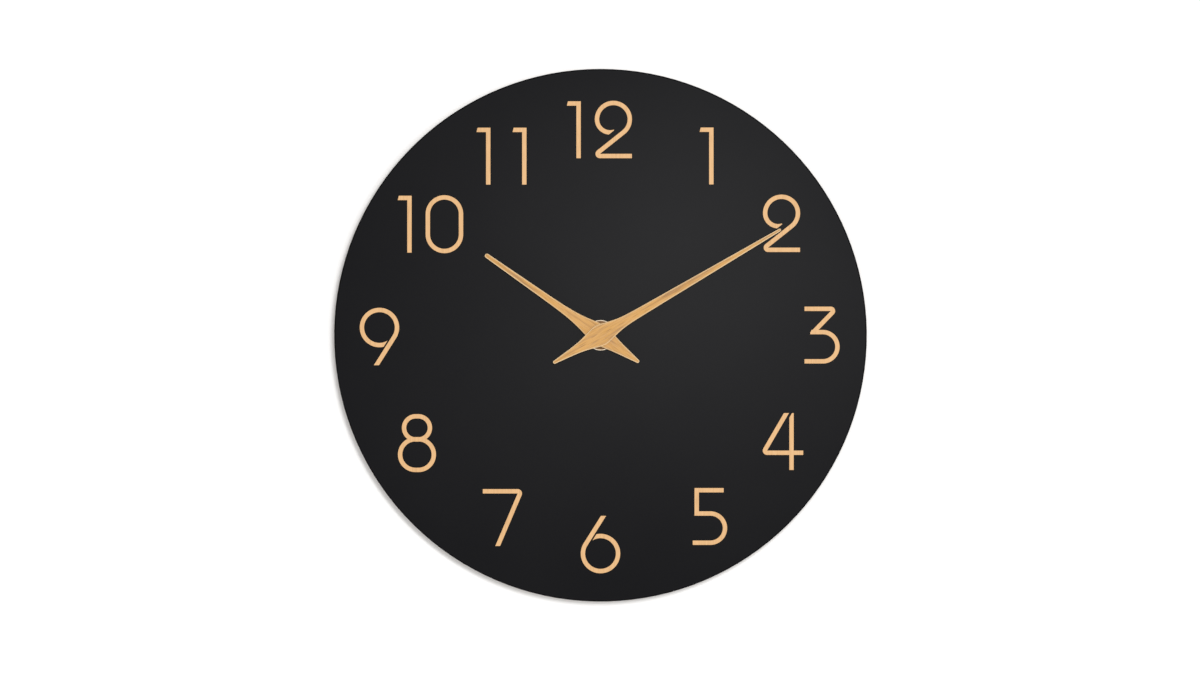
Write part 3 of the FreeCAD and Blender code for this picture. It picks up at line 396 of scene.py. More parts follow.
@dataclass(frozen=True)
class BoardFinish:
    """Black satin paint on a fibreboard disc, whose back is bare but for spray at its rim."""

    name: str
    radius: float
    face: Colour = (0.0056, 0.0055, 0.0064)
    worn: Colour = (0.0084, 0.0082, 0.0090)
    fibre: Colour = (0.300, 0.185, 0.098)
    straw: Colour = (0.440, 0.300, 0.175)
    bark: Colour = (0.130, 0.075, 0.038)
    roughness: float = 0.55
    bare_roughness: float = 0.3
    spray_reach: float = 7.0 * MM
    clouds: Noise = Noise(9, 4, 0.55)
    speckle: Noise = Noise(2600, 2, 0.5)
    peel: Noise = Noise(650, 2, 0.45)
    spray: Noise = Noise(45, 3, 0.6)
    matting: Noise = Noise(900, 4, 0.65, 1.2)
    sanding: Noise = Noise(1500, 2, 0.5)
    sanding_pull: float = 0.06
    stains: Noise = Noise(14, 3, 0.6)
    flecks: Noise = Noise(520, 2, 0.5)
    peel_share: float = 0.7
    depth: float = 0.01 * MM

    def bare_back(self, shader: Shader, place: Socket) -> Socket:
        """Matted fibres, sanding lines and flecks of bark.

        Args:
            shader: Shader of the board.
            place: Object coordinates.

        Returns:
            The colour output.
        """
        matted = shader.noise(place, self.matting)
        lines = shader.noise(shader.place(stretch=(self.sanding_pull, 1.0, 1.0)), self.sanding)
        stains = shader.noise(place, self.stains)
        tone = shader.total((matted, 0.0, 0.6, 0.32, 0.68), (lines, 0.0, 0.25, *BROAD),
                            (stains, 0.0, 0.15, *NARROW))
        colour = shader.ramp(tone, (0.05, self.bark), (0.45, self.fibre), (0.95, self.straw))
        flecks = shader.remap(shader.noise(place, self.flecks), 0.0, 0.75, 0.655, 0.70)
        return shader.mix(flecks, colour, self.bark)

    def build(self) -> Material:
        """Make the material.

        Returns:
            The material.
        """
        shader = Shader(self.name)
        place = shader.place()
        clouds = shader.noise(place, self.clouds)
        speckle = shader.noise(place, self.speckle)
        peel = shader.noise(place, self.peel)
        spray = shader.noise(place, self.spray)
        tone = shader.total((clouds, 0.0, 0.55, *BROAD), (speckle, 0.0, 0.45, 0.35, 0.7))
        paint = shader.ramp(tone, (0.15, self.face), (1.0, self.worn))
        mist = shader.total((shader.radius(), 0.0, 1.0, self.radius - self.spray_reach, self.radius),
                            (spray, -0.16, 0.16, *BROAD), (speckle, -0.22, 0.22, *BROAD))
        sprayed = shader.remap(mist, 0.0, 0.92, 0.10, 0.95)
        bare = shader.mix(sprayed, self.bare_back(shader, place), self.worn)
        rear = shader.remap(shader.facing(REAR), 0.0, 1.0, 0.4, 0.8)
        colour = shader.mix(rear, paint, bare)
        painted = shader.remap(clouds, self.roughness - 0.03, self.roughness + 0.03, *BROAD)
        rough = shader.maths("ADD", painted, shader.maths("MULTIPLY", rear, self.bare_roughness))
        height = shader.maths("ADD", shader.maths("MULTIPLY", peel, self.peel_share),
                              shader.maths("MULTIPLY", speckle, 1.0 - self.peel_share))
        return shader.finish(colour, rough, height, self.depth, Specular_IOR_Level=0.004,
                             Coat_Weight=0.020, Coat_Roughness=0.29)


@dataclass(frozen=True)
class TurnedMetal:
    """Metal faced on a lathe, with fine rings round the axis of the hands and, if set, a rim painted bright
    as a highlight.
    """

    name: str
    bright: Colour = (0.80, 0.58, 0.24)
    dull: Colour = (0.56, 0.36, 0.13)
    roughness: float = 0.24
    # Painted highlight: the rim beyond a set radius takes this bright colour, with a soft edge.
    rim: Colour = (0.88, 0.76, 0.60)
    highlight_radius: float = 1.0
    highlight_blur: float = 0.1 * MM
    rings: Noise = Noise(5400, 2, 0.6)
    stain: Noise = Noise(260, 4, 0.6)
    depth: float = 0.012 * MM

    def build(self) -> Material:
        """Make the material.

        Returns:
            The material.
        """
        shader = Shader(self.name)
        radius = shader.radius()
        outward = shader.node("CombineXYZ", ("X", radius)).outputs[0]
        turned = shader.noise(outward, self.rings)
        stain = shader.noise(shader.place(), self.stain)
        tone = shader.total((stain, 0.0, 0.7, *BROAD), (turned, 0.0, 0.3, *BROAD))
        colour = shader.ramp(tone, (0.1, self.dull), (0.8, self.bright))
        # Painted highlight: the rim outside the set radius is coloured bright.
        painted_rim_highlight = shader.remap(radius, 0.0, 1.0, self.highlight_radius - self.highlight_blur,
                                self.highlight_radius + self.highlight_blur)
        colour = shader.mix(painted_rim_highlight, colour, self.rim)
        rough = shader.remap(stain, self.roughness + 0.12, self.roughness - 0.04, *BROAD)
        return shader.finish(colour, rough, turned, self.depth, Metallic=1.0)


@dataclass(frozen=True)
class BrushedMetal:
    """Sheet metal with fine brush lines and a few darker patches."""

    name: str
    bright: Colour = (0.62, 0.63, 0.64)
    dull: Colour = (0.40, 0.40, 0.41)
    roughness: float = 0.30
    line_stretch: Triple = (1.0, 1.0, 0.03)
    lines: Noise = Noise(5200, 2, 0.6)
    patches: Noise = Noise(190, 4, 0.6)
    depth: float = 0.008 * MM

    def build(self) -> Material:
        """Make the material.

        Returns:
            The material.
        """
        shader = Shader(self.name)
        lines = shader.noise(shader.place(stretch=self.line_stretch), self.lines)
        patches = shader.noise(shader.place(), self.patches)
        tone = shader.total((lines, 0.0, 0.4, *BROAD), (patches, 0.0, 0.6, *BROAD))
        colour = shader.ramp(tone, (0.1, self.dull), (0.85, self.bright))
        rough = shader.total((lines, 0.0, 0.10, *BROAD),
                             (patches, self.roughness, self.roughness + 0.12, *BROAD))
        return shader.finish(colour, rough, lines, self.depth, Metallic=1.0)


@dataclass(frozen=True)
class MouldedPlastic:
    """Moulded plastic with a fine spark-eroded texture."""

    name: str
    body: Colour
    scuffed: Colour
    roughness: float = 0.55
    grain: float = 4200.0
    grain_depth: float = 0.022 * MM
    specular: float = 0.40
    glow: float = 0.0
    flow: Noise = Noise(70, 3, 0.5, 0.8)

    def build(self) -> Material:
        """Make the material.

        Returns:
            The material.
        """
        shader = Shader(self.name)
        place = shader.place()
        grain = shader.noise(place, Noise(self.grain, 2))
        flow = shader.noise(place, self.flow)
        tone = shader.total((grain, 0.0, 0.5, *NARROW), (flow, 0.0, 0.5, *BROAD))
        colour = shader.ramp(tone, (0.2, self.body), (1.0, self.scuffed))
        rough = shader.remap(flow, self.roughness - 0.06, self.roughness + 0.06, *BROAD)
        return shader.finish(colour, rough, grain, self.grain_depth, Specular_IOR_Level=self.specular,
                             Subsurface_Weight=self.glow, Subsurface_Scale=2.0 * MM)


@dataclass(frozen=True)
class SleeveFinish:
    """Printed metal jacket of a battery, with a band at its positive end."""

    name: str
    band_start: float
    jacket: Colour = (0.045, 0.120, 0.260)
    band: Colour = (0.560, 0.570, 0.580)
    line: Colour = (0.020, 0.040, 0.085)
    line_gap: float = 1.2 * MM
    line_half_width: float = 0.4 * MM
    fleck: Noise = Noise(5200, 1)
    rub: Noise = Noise(1300, 3, 0.6)
    rub_pull: float = 0.15
    depth: float = 0.004 * MM

    def build(self) -> Material:
        """Make the material.

        Returns:
            The material.
        """
        shader = Shader(self.name)
        place = shader.place()
        across = shader.node("SeparateXYZ", ("Vector", place)).outputs["X"]
        fleck = shader.noise(place, self.fleck)
        band = shader.maths("GREATER_THAN", across, self.band_start)
        line = shader.maths("COMPARE", across, self.band_start - self.line_gap)
        line.node.inputs[2].default_value = self.line_half_width
        colour = shader.mix(shader.remap(fleck, 0.0, 0.35, 0.4, 0.7), self.jacket, self.line)
        colour = shader.mix(band, colour, self.band)
        colour = shader.mix(line, colour, self.band)
        rub = shader.noise(shader.place(stretch=(self.rub_pull, 1, 1)), self.rub)
        rough = shader.remap(rub, 0.20, 0.36, *BROAD)
        return shader.finish(colour, rough, rub, self.depth, Metallic=0.35, Coat_Weight=0.6,
                             Coat_Roughness=0.12)


@dataclass(frozen=True)
class LaminateFinish:
    """Circuit laminate with copper tracks."""

    name: str
    resin: Colour = (0.430, 0.235, 0.075)
    weave: Colour = (0.300, 0.160, 0.050)
    track: Colour = (0.250, 0.330, 0.120)
    track_width: float = 1.1 * MM
    track_share: float = 0.28
    cloth: Noise = Noise(3300, 2)
    depth: float = 0.02 * MM

    def build(self) -> Material:
        """Make the material.

        Returns:
            The material.
        """
        shader = Shader(self.name)
        place = shader.place()
        cells = shader.node("TexVoronoi", ("Vector", place), feature="DISTANCE_TO_EDGE",
                            distance="EUCLIDEAN", Scale=self.track_share / self.track_width)
        tracks = shader.remap(cells.outputs["Distance"], 1.0, 0.0, 0.10, 0.14)
        cloth = shader.remap(shader.noise(place, self.cloth), 0.0, 0.3, *NARROW)
        colour = shader.mix(tracks, shader.mix(cloth, self.resin, self.weave), self.track)
        rough = shader.remap(tracks, 0.45, 0.30)
        return shader.finish(colour, rough, tracks, self.depth, Coat_Weight=0.3)


# ---- Geometry node trees ----


class GeometryRecipe(TreeBuilder):
    """A tree of geometry nodes, turned into a plain mesh once its sizes are set."""

    def __init__(self, name: str, **sizes: float) -> None:
        """Start a tree.

        Args:
            name: Name of the tree.
            sizes: Named inputs of the tree, with their values.
        """
        super().__init__(bpy.data.node_groups.new(name, "GeometryNodeTree"))
        self.tree.interface.new_socket("Geometry", in_out="OUTPUT", socket_type="NodeSocketGeometry")
        self.sizes = sizes
        for label, value in sizes.items():
            kind = "NodeSocketInt" if isinstance(value, int) else "NodeSocketFloat"
            self.tree.interface.new_socket(label, in_out="INPUT", socket_type=kind)
        self.entry = self.node("NodeGroupInput")
        self.exit = self.node("NodeGroupOutput")

    def size(self, label: str) -> Socket:
        """The output that carries a named size.

        Args:
            label: Name of the size.

        Returns:
            The output.
        """
        return self.entry.outputs[label]

    def make(self, name: str, geometry: Socket, material: Material, place: Matrix) -> Piece:
        """Finish the tree and turn it into a mesh.

        Args:
            name: Name of the piece.
            geometry: The last output of the tree.
            material: Material of the piece.
            place: Where the shape goes in the clock.

        Returns:
            The piece, at the origin with its place in its mesh.
        """
        real = self.node("GeometryNodeRealizeInstances", ("Geometry", geometry))
        self.tree.links.new(real.outputs[0], self.exit.inputs[0])
        carrier = bpy.data.objects.new(name + "_carrier", bpy.data.meshes.new(name + "_carrier"))
        bpy.context.scene.collection.objects.link(carrier)
        modifier = carrier.modifiers.new("recipe", "NODES")
        modifier.node_group = self.tree
        for item in self.tree.interface.items_tree:
            if item.in_out == "INPUT":
                modifier[item.identifier] = self.sizes[item.name]
        shown = carrier.evaluated_get(bpy.context.evaluated_depsgraph_get())
        mesh = bpy.data.meshes.new_from_object(shown)
        carrier.modifiers.clear()
        bpy.data.objects.remove(carrier)
        mesh.transform(place)
        return add_piece(name, mesh, material)


# ---- Meshes ----


def add_piece(name: str, mesh: bpy.types.Mesh, material: Material) -> Piece:
    """Put a mesh in the scene as a piece.

    Args:
        name: Name of the piece.
        mesh: Its mesh, in the frame of the clock.
        material: Its material.

    Returns:
        The new object.
    """
    mesh.name = name
    mesh.materials.clear()
    mesh.materials.append(material)
    piece = bpy.data.objects.new(name, mesh)
    bpy.context.scene.collection.objects.link(piece)
    return piece


def mesh_from(work: bmesh.types.BMesh, name: str) -> bpy.types.Mesh:
    """Turn a worked mesh into a plain one, and free it.

    Args:
        work: The worked mesh.
        name: Name of the plain mesh.

    Returns:
        The plain mesh.
    """
    mesh = bpy.data.meshes.new(name)
    work.to_mesh(mesh)
    work.free()
    return mesh


def lathe(name: str, profile: list[tuple[float, float]], axis: Matrix, material: Material) -> Piece:
    """Turn a profile round an axis.

    Args:
        name: Name of the piece.
        profile: Points as (distance along the axis, radius), from one end to the other.
        axis: Takes the Z axis, where the profile is turned, to its place in the clock.
        material: Material of the piece.

    Returns:
        The piece.
    """
    work = bmesh.new()
    angles = [2 * math.pi * step / LATHE_STEPS for step in range(LATHE_STEPS)]
    rings = []
    for along, radius in profile:
        if radius < POINT_RADIUS:
            rings.append([work.verts.new((0, 0, along))])
            continue
        rings.append([work.verts.new((radius * math.cos(a), radius * math.sin(a), along)) for a in angles])
    for low, high in zip(rings, rings[1:]):
        for step in range(LATHE_STEPS):
            following = (step + 1) % LATHE_STEPS
            corners = [low[step % len(low)], low[following % len(low)],
                       high[following % len(high)], high[step % len(high)]]
            work.faces.new(list(dict.fromkeys(corners)))
    bmesh.ops.recalc_face_normals(work, faces=work.faces)
    mesh = mesh_from(work, name)
    mesh.transform(axis)
    for polygon in mesh.polygons:
        polygon.use_smooth = True
    piece = add_piece(name, mesh, material)
    mesh.set_sharp_from_angle(angle=math.radians(SHARP_DEGREES))
    return piece


def axis_along(direction: Vector, start: Vector) -> Matrix:
    """The matrix that takes the Z axis to a direction through a start point.

    Args:
        direction: Unit vector.
        start: Where the origin goes.

    Returns:
        The matrix.
    """
    return Matrix.Translation(start) @ direction.to_track_quat("Z", "Y").to_matrix().to_4x4()


def node_box(name: str) -> tuple[Vector, Vector, Vector]:
    """Box of a CAD node.

    Args:
        name: Name of the node.

    Returns:
        Its lowest corner, highest corner and middle.
    """
    low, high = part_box(name)
    return low, high, (low + high) / 2


def dress(nodes: list[str], material: Material) -> None:
    """Give CAD nodes a material.

    Args:
        nodes: Names of the nodes.
        material: Their new material.
    """
    for name in nodes:
        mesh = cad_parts[name].data
        mesh.materials.clear()
        mesh.materials.append(material)
        LOG.info("dressed %s in %s", name, material.name)


def settle(piece: Piece, body: Body, slot: Slot, *replaced: str) -> None:
    """Tie a finished piece to its body and hide the CAD nodes that it stands for.

    Args:
        piece: The piece.
        body: The body that it moves with.
        slot: The slot meant for its finish; not used.
        replaced: Names of the CAD nodes that it replaces.
    """
    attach(piece, body.value)
    if replaced:
        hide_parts(*replaced)
    LOG.info("made %s with %d faces", piece.name, len(piece.data.polygons))


# ---- Sub-assemblies ----


@dataclass
class Dial:
    """The painted board and its wooden numerals."""

    hours: int = 12

    def build(self) -> None:
        """Dress the board and the numerals."""
        low, high, _ = node_box("dial_board")
        dress(["dial_board"], BoardFinish("black_satin_paint", (high.x - low.x) / 2).build())
        veneer = WoodFinish("numeral_veneer", light=(0.625, 0.355, 0.145), dark=(0.535, 0.295, 0.110),
                            pore=(0.390, 0.205, 0.074), pale_edge_and_highlight=(0.560, 0.330, 0.140), figure=0.8)
        dress([f"numeral_{hour:02d}" for hour in range(1, self.hours + 1)], veneer.build())


@dataclass
class Hands:
    """The two wooden hands, their brass bushes and the clamp on the dial."""

    # Width of the washer's painted rim highlight.
    washer_highlight_width: float = 0.45 * MM

    def grain_degrees(self, node: str) -> float:
        """Direction of a hand.

        Args:
            node: Name of the hand's node.

        Returns:
            Degrees anticlockwise from +X, seen from the front, from the axis to the tip.
        """
        points = [vertex.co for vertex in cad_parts[node].data.vertices]
        tip = max(points, key=lambda point: math.hypot(point.x, point.z))
        return math.degrees(math.atan2(tip.z, tip.x))

    def build(self) -> None:
        """Dress the hands, with the grain along each, and their metal parts."""
        for node in ("minute_hand", "hour_hand"):
            finish = WoodFinish(node + "_wood", grain_degrees=self.grain_degrees(node))
            dress([node], finish.build())
        brass = TurnedMetal("turned_brass").build()
        dress(["minute_hand_bush", "hour_hand_bush", "friction_collar", "dial_nut", "centre_bush"], brass)
        low, high, _ = node_box("dial_washer")
        # Painted shade and highlight: the washer's brass is painted dark brown for the shade of the hands
        # over it, and its rim bright.
        washer = TurnedMetal("washer_brass_painted_shade", bright=(0.175, 0.098, 0.045), dull=(0.085, 0.044, 0.020),
                             roughness=0.60, highlight_radius=(high.x - low.x) / 2 - self.washer_highlight_width)
        dress(["dial_washer"], washer.build())


@dataclass
class Movement:
    """The case, its cover and what shows of them from behind."""

    rib_count: int = 7
    rib_width: float = 0.7 * MM
    rib_length: float = 7.0 * MM
    rib_height: float = 0.4 * MM
    rib_pitch: float = 1.8 * MM
    rib_offset: float = 10.0 * MM
    rib_margin: float = 1.5 * MM
    sign_size: float = 2.6 * MM
    sign_stroke: float = 0.6 * MM
    sign_height: float = 0.3 * MM
    sign_inset: float = 5.5 * MM
    tick_count: int = 24
    tick_length: float = 1.0 * MM
    tick_width: float = 0.35 * MM
    tick_height: float = 0.3 * MM
    tick_gap: float = 2.2 * MM

    def grip_ribs(self, plastic: Material) -> None:
        """Thumb ribs on the rear cover, over the battery bay.

        Args:
            plastic: Material of the case.
        """
        low, high, middle = node_box("rear_cover")
        recipe = GeometryRecipe("grip_rib_rows", Ribs=self.rib_count, Pitch=self.rib_pitch,
                                Width=self.rib_width, Length=self.rib_length, Height=self.rib_height)
        size = recipe.node("ShaderNodeCombineXYZ", ("X", recipe.size("Width")),
                           ("Y", recipe.size("Height")), ("Z", recipe.size("Length")))
        rib = recipe.node("GeometryNodeMeshCube", ("Size", size.outputs[0]))
        step = recipe.node("ShaderNodeCombineXYZ", ("X", recipe.size("Pitch")))
        row = recipe.node("GeometryNodeMeshLine", ("Count", recipe.size("Ribs")),
                          ("Offset", step.outputs[0]))
        ribs = recipe.node("GeometryNodeInstanceOnPoints", ("Points", row.outputs[0]),
                           ("Instance", rib.outputs[0]))
        start = Vector((middle.x - self.rib_offset - self.rib_pitch * (self.rib_count - 1) / 2, high.y,
                        low.z + self.rib_length / 2 + self.rib_margin))
        piece = recipe.make("cover_grip_ribs", ribs.outputs[0], plastic, Matrix.Translation(start))
        settle(piece, Body.CLOCK, Slot.CASE)

    def well_ring(self, plastic: Material) -> None:
        """A ring of raised ticks round the setting knob's well.

        Args:
            plastic: Material of the case.
        """
        low, high, middle = node_box("setting_knob")
        radius = (high.x - low.x) / 2 + self.tick_gap
        recipe = GeometryRecipe("well_ticks", Ticks=self.tick_count, Radius=radius, Length=self.tick_length)
        ring = recipe.node("GeometryNodeCurvePrimitiveCircle", ("Resolution", recipe.size("Ticks")),
                           ("Radius", recipe.size("Radius")))
        size = recipe.node("ShaderNodeCombineXYZ", ("Y", recipe.size("Length")),
                           X=self.tick_width, Z=self.tick_height)
        tick = recipe.node("GeometryNodeMeshCube", ("Size", size.outputs[0]))
        tangent = recipe.node("GeometryNodeInputTangent")
        turned = recipe.node("FunctionNodeAlignRotationToVector", ("Vector", tangent.outputs[0]), axis="X")
        ticks = recipe.node("GeometryNodeInstanceOnPoints", ("Points", ring.outputs[0]),
                            ("Instance", tick.outputs[0]), ("Rotation", turned.outputs[0]))
        cover_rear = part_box("rear_cover")[1].y
        place = axis_along(REAR, Vector((middle.x, cover_rear, middle.z)))
        settle(recipe.make("well_ticks", ticks.outputs[0], plastic, place), Body.CLOCK, Slot.CASE)

    def polarity_signs(self, plastic: Material) -> None:
        """Raised plus and minus over the ends of the battery bay.

        Args:
            plastic: Material of the case.
        """
        low, high, _ = node_box("rear_cover")
        arm = self.sign_size / 2
        half = self.sign_stroke / 2
        minus = [(-arm, -half), (arm, -half), (arm, half), (-arm, half)]
        plus = [(-arm, -half), (-half, -half), (-half, -arm), (half, -arm), (half, -half), (arm, -half),
                (arm, half), (half, half), (half, arm), (-half, arm), (-half, half), (-arm, half)]
        work = bmesh.new()
        sunk = high.y - self.sign_height / 2
        level = low.z + self.sign_inset / 2
        for outline, across in ((plus, high.x - self.sign_inset), (minus, low.x + self.sign_inset)):
            lower, upper = [[work.verts.new((across + x, y, level + z)) for x, z in outline]
                            for y in (sunk, sunk + self.sign_height)]
            work.faces.new(lower)
            work.faces.new(upper)
            for step in range(len(outline)):
                work.faces.new((lower[step - 1], lower[step], upper[step], upper[step - 1]))
        bmesh.ops.recalc_face_normals(work, faces=work.faces)
        mesh = mesh_from(work, "polarity_signs")
        settle(add_piece("polarity_signs", mesh, plastic), Body.CLOCK, Slot.CASE)

    def build(self) -> None:
        """Dress the moulded parts and add their raised marks."""
        plastic = MouldedPlastic("case_black", body=(0.015, 0.015, 0.016), scuffed=(0.036, 0.036, 0.037),
                                 roughness=0.44).build()
        dress(["movement_case", "rear_cover"], plastic)
        knob = MouldedPlastic("knob_black", body=(0.020, 0.020, 0.021), scuffed=(0.045, 0.045, 0.046),
                              roughness=0.42)
        dress(["setting_knob"], knob.build())
        dress(["hanger_bracket"], BrushedMetal("zinc_plate").build())
        rubber = MouldedPlastic("washer_rubber", body=(0.016, 0.016, 0.016), scuffed=(0.035, 0.034, 0.033),
                                roughness=0.75, grain=2600, specular=0.2)
        dress(["rubber_washer"], rubber.build())
        self.grip_ribs(plastic)
        self.well_ring(plastic)
        self.polarity_signs(plastic)


@dataclass
class Train:
    """The wheels, pinions and bearing plate inside the case."""

    def build(self) -> None:
        """Dress the gear train, the clutch and the small steel parts."""
        resin = MouldedPlastic("gear_resin", body=(0.62, 0.60, 0.55), scuffed=(0.72, 0.70, 0.64),
                               roughness=0.38, grain=7000, grain_depth=0.006 * MM, glow=0.15)
        dress(["minute_arbor", "hour_wheel", "motion_wheel", "rotor_pinion", "intermediate_wheel",
               "second_wheel", "third_wheel", "centre_wheel"], resin.build())
        plate = MouldedPlastic("plate_resin", body=(0.42, 0.44, 0.43), scuffed=(0.52, 0.53, 0.52),
                               roughness=0.5)
        dress(["middle_plate", "coil_bobbin"], plate.build())
        sprung = BrushedMetal("spring_steel", roughness=0.22, line_stretch=(1.0, 1.0, 1.0))
        dress(["friction_spring", "positive_contact", "negative_contact", "stator_screws",
               "quartz_crystal"], sprung.build())
        magnet = BrushedMetal("magnet_sinter", bright=(0.16, 0.16, 0.17), dull=(0.08, 0.08, 0.085),
                              roughness=0.5, line_stretch=(1.0, 1.0, 1.0))
        dress(["rotor_magnet"], magnet.build())


@dataclass
class Motor:
    """Stator, core, coil and the board that drives them."""

    wire: float = 0.4 * MM
    wire_swell: float = 0.52
    wire_sides: int = 8
    turn_steps: int = 28

    def winding(self, copper: Material) -> None:
        """Turns of lacquered wire on the bobbin.

        Args:
            copper: Material of the wire.
        """
        low, high, middle = node_box("coil_winding")
        length = high.x - low.x
        radius = (high.z - low.z) / 2
        recipe = GeometryRecipe("coil_turns", Turns=length / self.wire - 1, Radius=radius - self.wire / 2,
                                Length=length - self.wire, Wire=self.wire * self.wire_swell)
        path = recipe.node("GeometryNodeCurveSpiral", ("Rotations", recipe.size("Turns")),
                           ("Start Radius", recipe.size("Radius")), ("End Radius", recipe.size("Radius")),
                           ("Height", recipe.size("Length")), Resolution=self.turn_steps)
        thread = recipe.node("GeometryNodeCurvePrimitiveCircle", ("Radius", recipe.size("Wire")),
                             Resolution=self.wire_sides)
        wound = recipe.node("GeometryNodeCurveToMesh", ("Curve", path.outputs[0]),
                            ("Profile Curve", thread.outputs[0]))
        wound.inputs["Fill Caps"].default_value = True
        start = Vector((low.x + self.wire / 2, middle.y, middle.z))
        piece = recipe.make("coil_turns", wound.outputs[0], copper, axis_along(RIGHT, start))
        settle(piece, Body.CLOCK, Slot.COPPER, "coil_winding")

    def build(self) -> None:
        """Dress the motor's iron and the board, and wind the coil."""
        iron = BrushedMetal("motor_lamination", bright=(0.44, 0.44, 0.46), dull=(0.27, 0.27, 0.28),
                            line_stretch=(0.05, 1.0, 1.0))
        dress(["stator_plate", "coil_core"], iron.build())
        dress(["circuit_board"], LaminateFinish("circuit_laminate").build())
        potting = MouldedPlastic("chip_resin", body=(0.006, 0.006, 0.007), scuffed=(0.014, 0.014, 0.015),
                                 roughness=0.2, grain=900, specular=0.6)
        dress(["driver_chip"], potting.build())
        copper = TurnedMetal("lacquered_copper", bright=(0.75, 0.30, 0.13), dull=(0.50, 0.16, 0.06))
        self.winding(copper.build())


@dataclass
class Battery:
    """An AA cell as a rolled jacket, a cap with its nub, and a base."""

    jacket_lip: float = 0.35 * MM
    shoulder: float = 0.7 * MM
    nub_radius: float = 2.6 * MM
    nub_length: float = 1.3 * MM
    ring_radius: float = 5.0 * MM
    band_share: float = 0.24

    def build(self) -> None:
        """Turn the three parts of the cell, each from a profile in shares of its lip or shoulder."""
        low, high, middle = node_box("battery")
        radius = (high.z - low.z) / 2
        body = high.x - low.x - self.nub_length
        axis = axis_along(RIGHT, Vector((low.x, middle.y, middle.z)))
        lip = self.jacket_lip
        fold = self.shoulder
        band_start = high.x - self.nub_length - self.band_share * body
        sleeve = SleeveFinish("battery_jacket", band_start).build()
        profile = [(lip * 1.6, radius - 2.2 * fold), (0.0, radius - 1.9 * fold), (0.0, radius - 1.1 * fold),
                   (0.25 * fold, radius - 0.35 * fold), (fold, radius), (body - fold, radius),
                   (body - 0.25 * fold, radius - 0.35 * fold), (body, radius - 1.1 * fold),
                   (body, radius - 1.9 * fold), (body - lip * 1.6, radius - 2.2 * fold)]
        settle(lathe("battery_jacket", profile, axis, sleeve), Body.CLOCK, Slot.SLEEVE, "battery")
        steel = TurnedMetal("cell_steel", bright=(0.70, 0.70, 0.70), dull=(0.48, 0.48, 0.49)).build()
        inset = radius - 2.0 * fold
        nub = self.nub_radius
        ring = self.ring_radius
        top = body + self.nub_length
        cap = [(body - 3 * lip, 0.0), (body - 3 * lip, inset), (body - lip, inset), (body - lip, ring),
               (body - 0.2 * lip, ring - lip), (body - 0.2 * lip, nub + lip), (body, nub),
               (top - lip, nub), (top, nub - lip), (top, 0.0)]
        settle(lathe("battery_cap", cap, axis, steel), Body.CLOCK, Slot.CONTACT)
        base = [(0.2 * lip, 0.0), (0.2 * lip, ring), (1.2 * lip, ring + lip), (1.2 * lip, inset),
                (3 * lip, inset), (3 * lip, 0.0)]
        settle(lathe("battery_base", base, axis, steel), Body.CLOCK, Slot.CONTACT)


# ---- Studio ----


@dataclass(frozen=True)
class Lamp:
    """A soft box that points at the clock, with its power in watts and its sizes in metres."""

    name: str
    power: float
    place: Triple
    width: float
    height: float

    def build(self) -> None:
        """Put the lamp in the scene."""
        light = bpy.data.lights.new(self.name, "AREA")
        light.shape = "RECTANGLE"
        light.energy = self.power
        light.size = self.width
        light.size_y = self.height
        lamp = bpy.data.objects.new(self.name, light)
        lamp.location = self.place
        lamp.rotation_mode = "QUATERNION"
        lamp.rotation_quaternion = (-Vector(self.place)).to_track_quat("-Z", "Y")
        bpy.context.scene.collection.objects.link(lamp)


LAMPS = (
    Lamp("key", power=11.5, place=(0.095, -1.60, 0.12), width=0.15, height=0.15),
    Lamp("strip", power=14.0, place=(0.10, -1.90, 0.02), width=0.66, height=0.20),
    Lamp("rear_key", power=52.0, place=(3.10, 1.90, 1.50), width=0.60, height=0.60),
    Lamp("rear_fill", power=24.0, place=(-2.20, 3.20, 0.90), width=1.60, height=1.20),
)


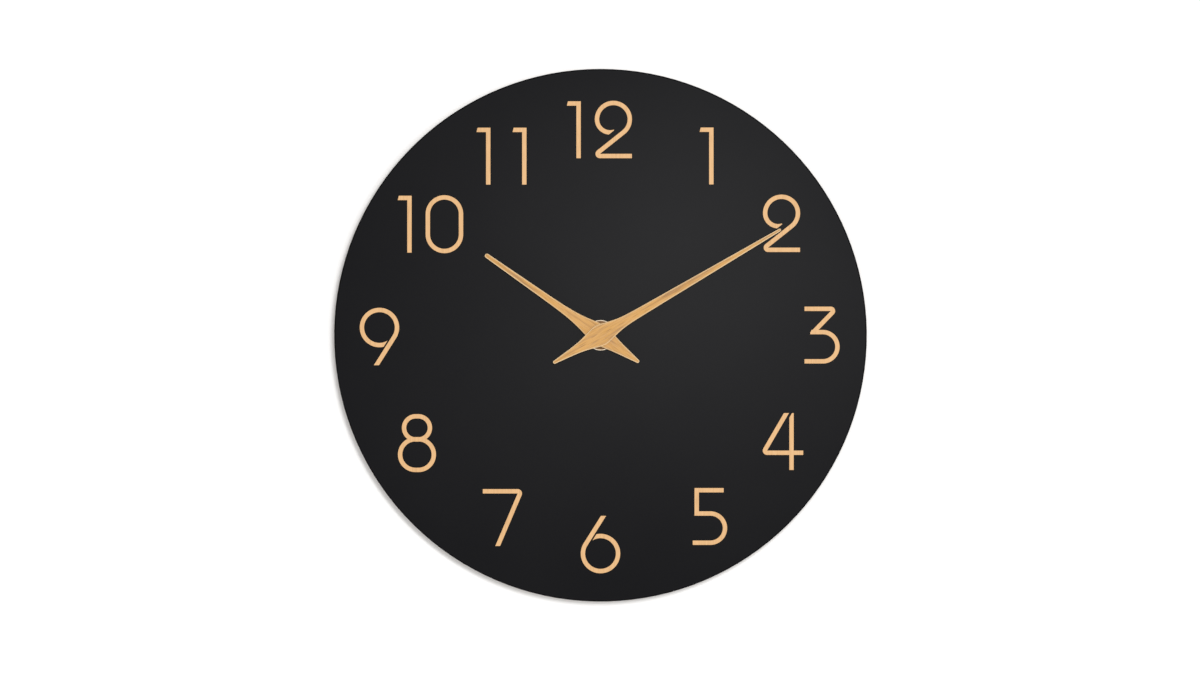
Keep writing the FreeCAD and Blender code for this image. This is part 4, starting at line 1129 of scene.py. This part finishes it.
@dataclass
class Studio:
    """Pale floor and wall, soft lights and the camera."""

    view_width: float = 675.5 * MM
    camera_distance: float = 1.8
    camera_offset: tuple[float, float] = (-0.28 * MM, -1.27 * MM)
    sensor: float = 36.0
    floor_drop: float = 1.10
    wall_gap: float = 0.6 * MM
    wall_colour: Colour = (0.92, 0.92, 0.92)
    stage_size: float = 8.0
    sky: float = 0.42
    sky_colour: Colour = (0.93, 0.97, 1.0)

    def plane(self, name: str, place: Matrix, material: Material) -> Piece:
        """A square of the stage.

        Args:
            name: Name of the square.
            place: Takes the square in XY to its place.
            material: Its material.

        Returns:
            The square.
        """
        work = bmesh.new()
        bmesh.ops.create_grid(work, x_segments=1, y_segments=1, size=self.stage_size / 2)
        mesh = mesh_from(work, name)
        mesh.transform(place)
        square = add_piece(name, mesh, material)
        return square

    def wall_paint(self) -> Material:
        """White matt paint that shows from the front only.

        Returns:
            The material.
        """
        shader = Shader("stage_wall")
        matt = {"Base Color": self.wall_colour, "Roughness": 1.0, "Specular IOR Level": 0.0}
        for name, value in matt.items():
            shader.feed(shader.surface.inputs[name], value)
        mixed = shader.node("MixShader")
        behind = shader.node("NewGeometry").outputs["Backfacing"]
        clear = shader.node("BsdfTransparent").outputs[0]
        for index, output in enumerate((behind, shader.surface.outputs[0], clear)):
            shader.feed(mixed.inputs[index], output)
        shader.feed(shader.output.inputs[0], mixed.outputs[0])
        return shader.material

    def stage(self) -> None:
        """Lay the floor and hang the wall."""
        floor_paint = MouldedPlastic("stage_floor", body=(0.80, 0.80, 0.79), scuffed=(0.84, 0.84, 0.83),
                                     roughness=0.8, grain=40, specular=0.1).build()
        self.plane("floor", Matrix.Translation((0, 0, -self.floor_drop)), floor_paint)
        upright = Matrix.Translation((0, self.wall_gap, 0)) @ Matrix.Rotation(math.pi / 2, 4, "X")
        wall = self.plane("wall", upright, self.wall_paint())
        wall.visible_shadow = False
        wall.visible_diffuse = False
        wall.visible_glossy = False

    def lights(self) -> None:
        """Light the sky and the lamps."""
        world = bpy.data.worlds.new("studio")
        world.use_nodes = True
        backdrop = world.node_tree.nodes["Background"]
        backdrop.inputs["Color"].default_value = (*self.sky_colour, 1.0)
        backdrop.inputs["Strength"].default_value = self.sky
        bpy.context.scene.world = world
        for lamp in LAMPS:
            lamp.build()

    def camera(self) -> None:
        """Put the camera square in front of the dial."""
        lens = bpy.data.cameras.new("camera")
        lens.sensor_width = self.sensor
        lens.lens = self.sensor * self.camera_distance / self.view_width
        camera = bpy.data.objects.new("camera", lens)
        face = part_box("dial_board")[0].y
        across, up = self.camera_offset
        camera.location = (across, face - self.camera_distance, up)
        camera.rotation_euler = (math.pi / 2, 0, 0)
        bpy.context.scene.collection.objects.link(camera)
        bpy.context.scene.camera = camera

    def build(self) -> None:
        """Make the stage, the lights and the camera."""
        bpy.context.scene.view_settings.view_transform = "Standard"
        self.stage()
        self.lights()
        self.camera()


def main() -> None:
    """Build the clock and its studio."""
    logging.basicConfig(level=logging.INFO, format="%(name)s: %(message)s")
    for part in (Dial(), Hands(), Movement(), Train(), Motor(), Battery(), Studio()):
        LOG.info("building %s", type(part).__name__)
        part.build()


if __name__ == "__main__":
    main()
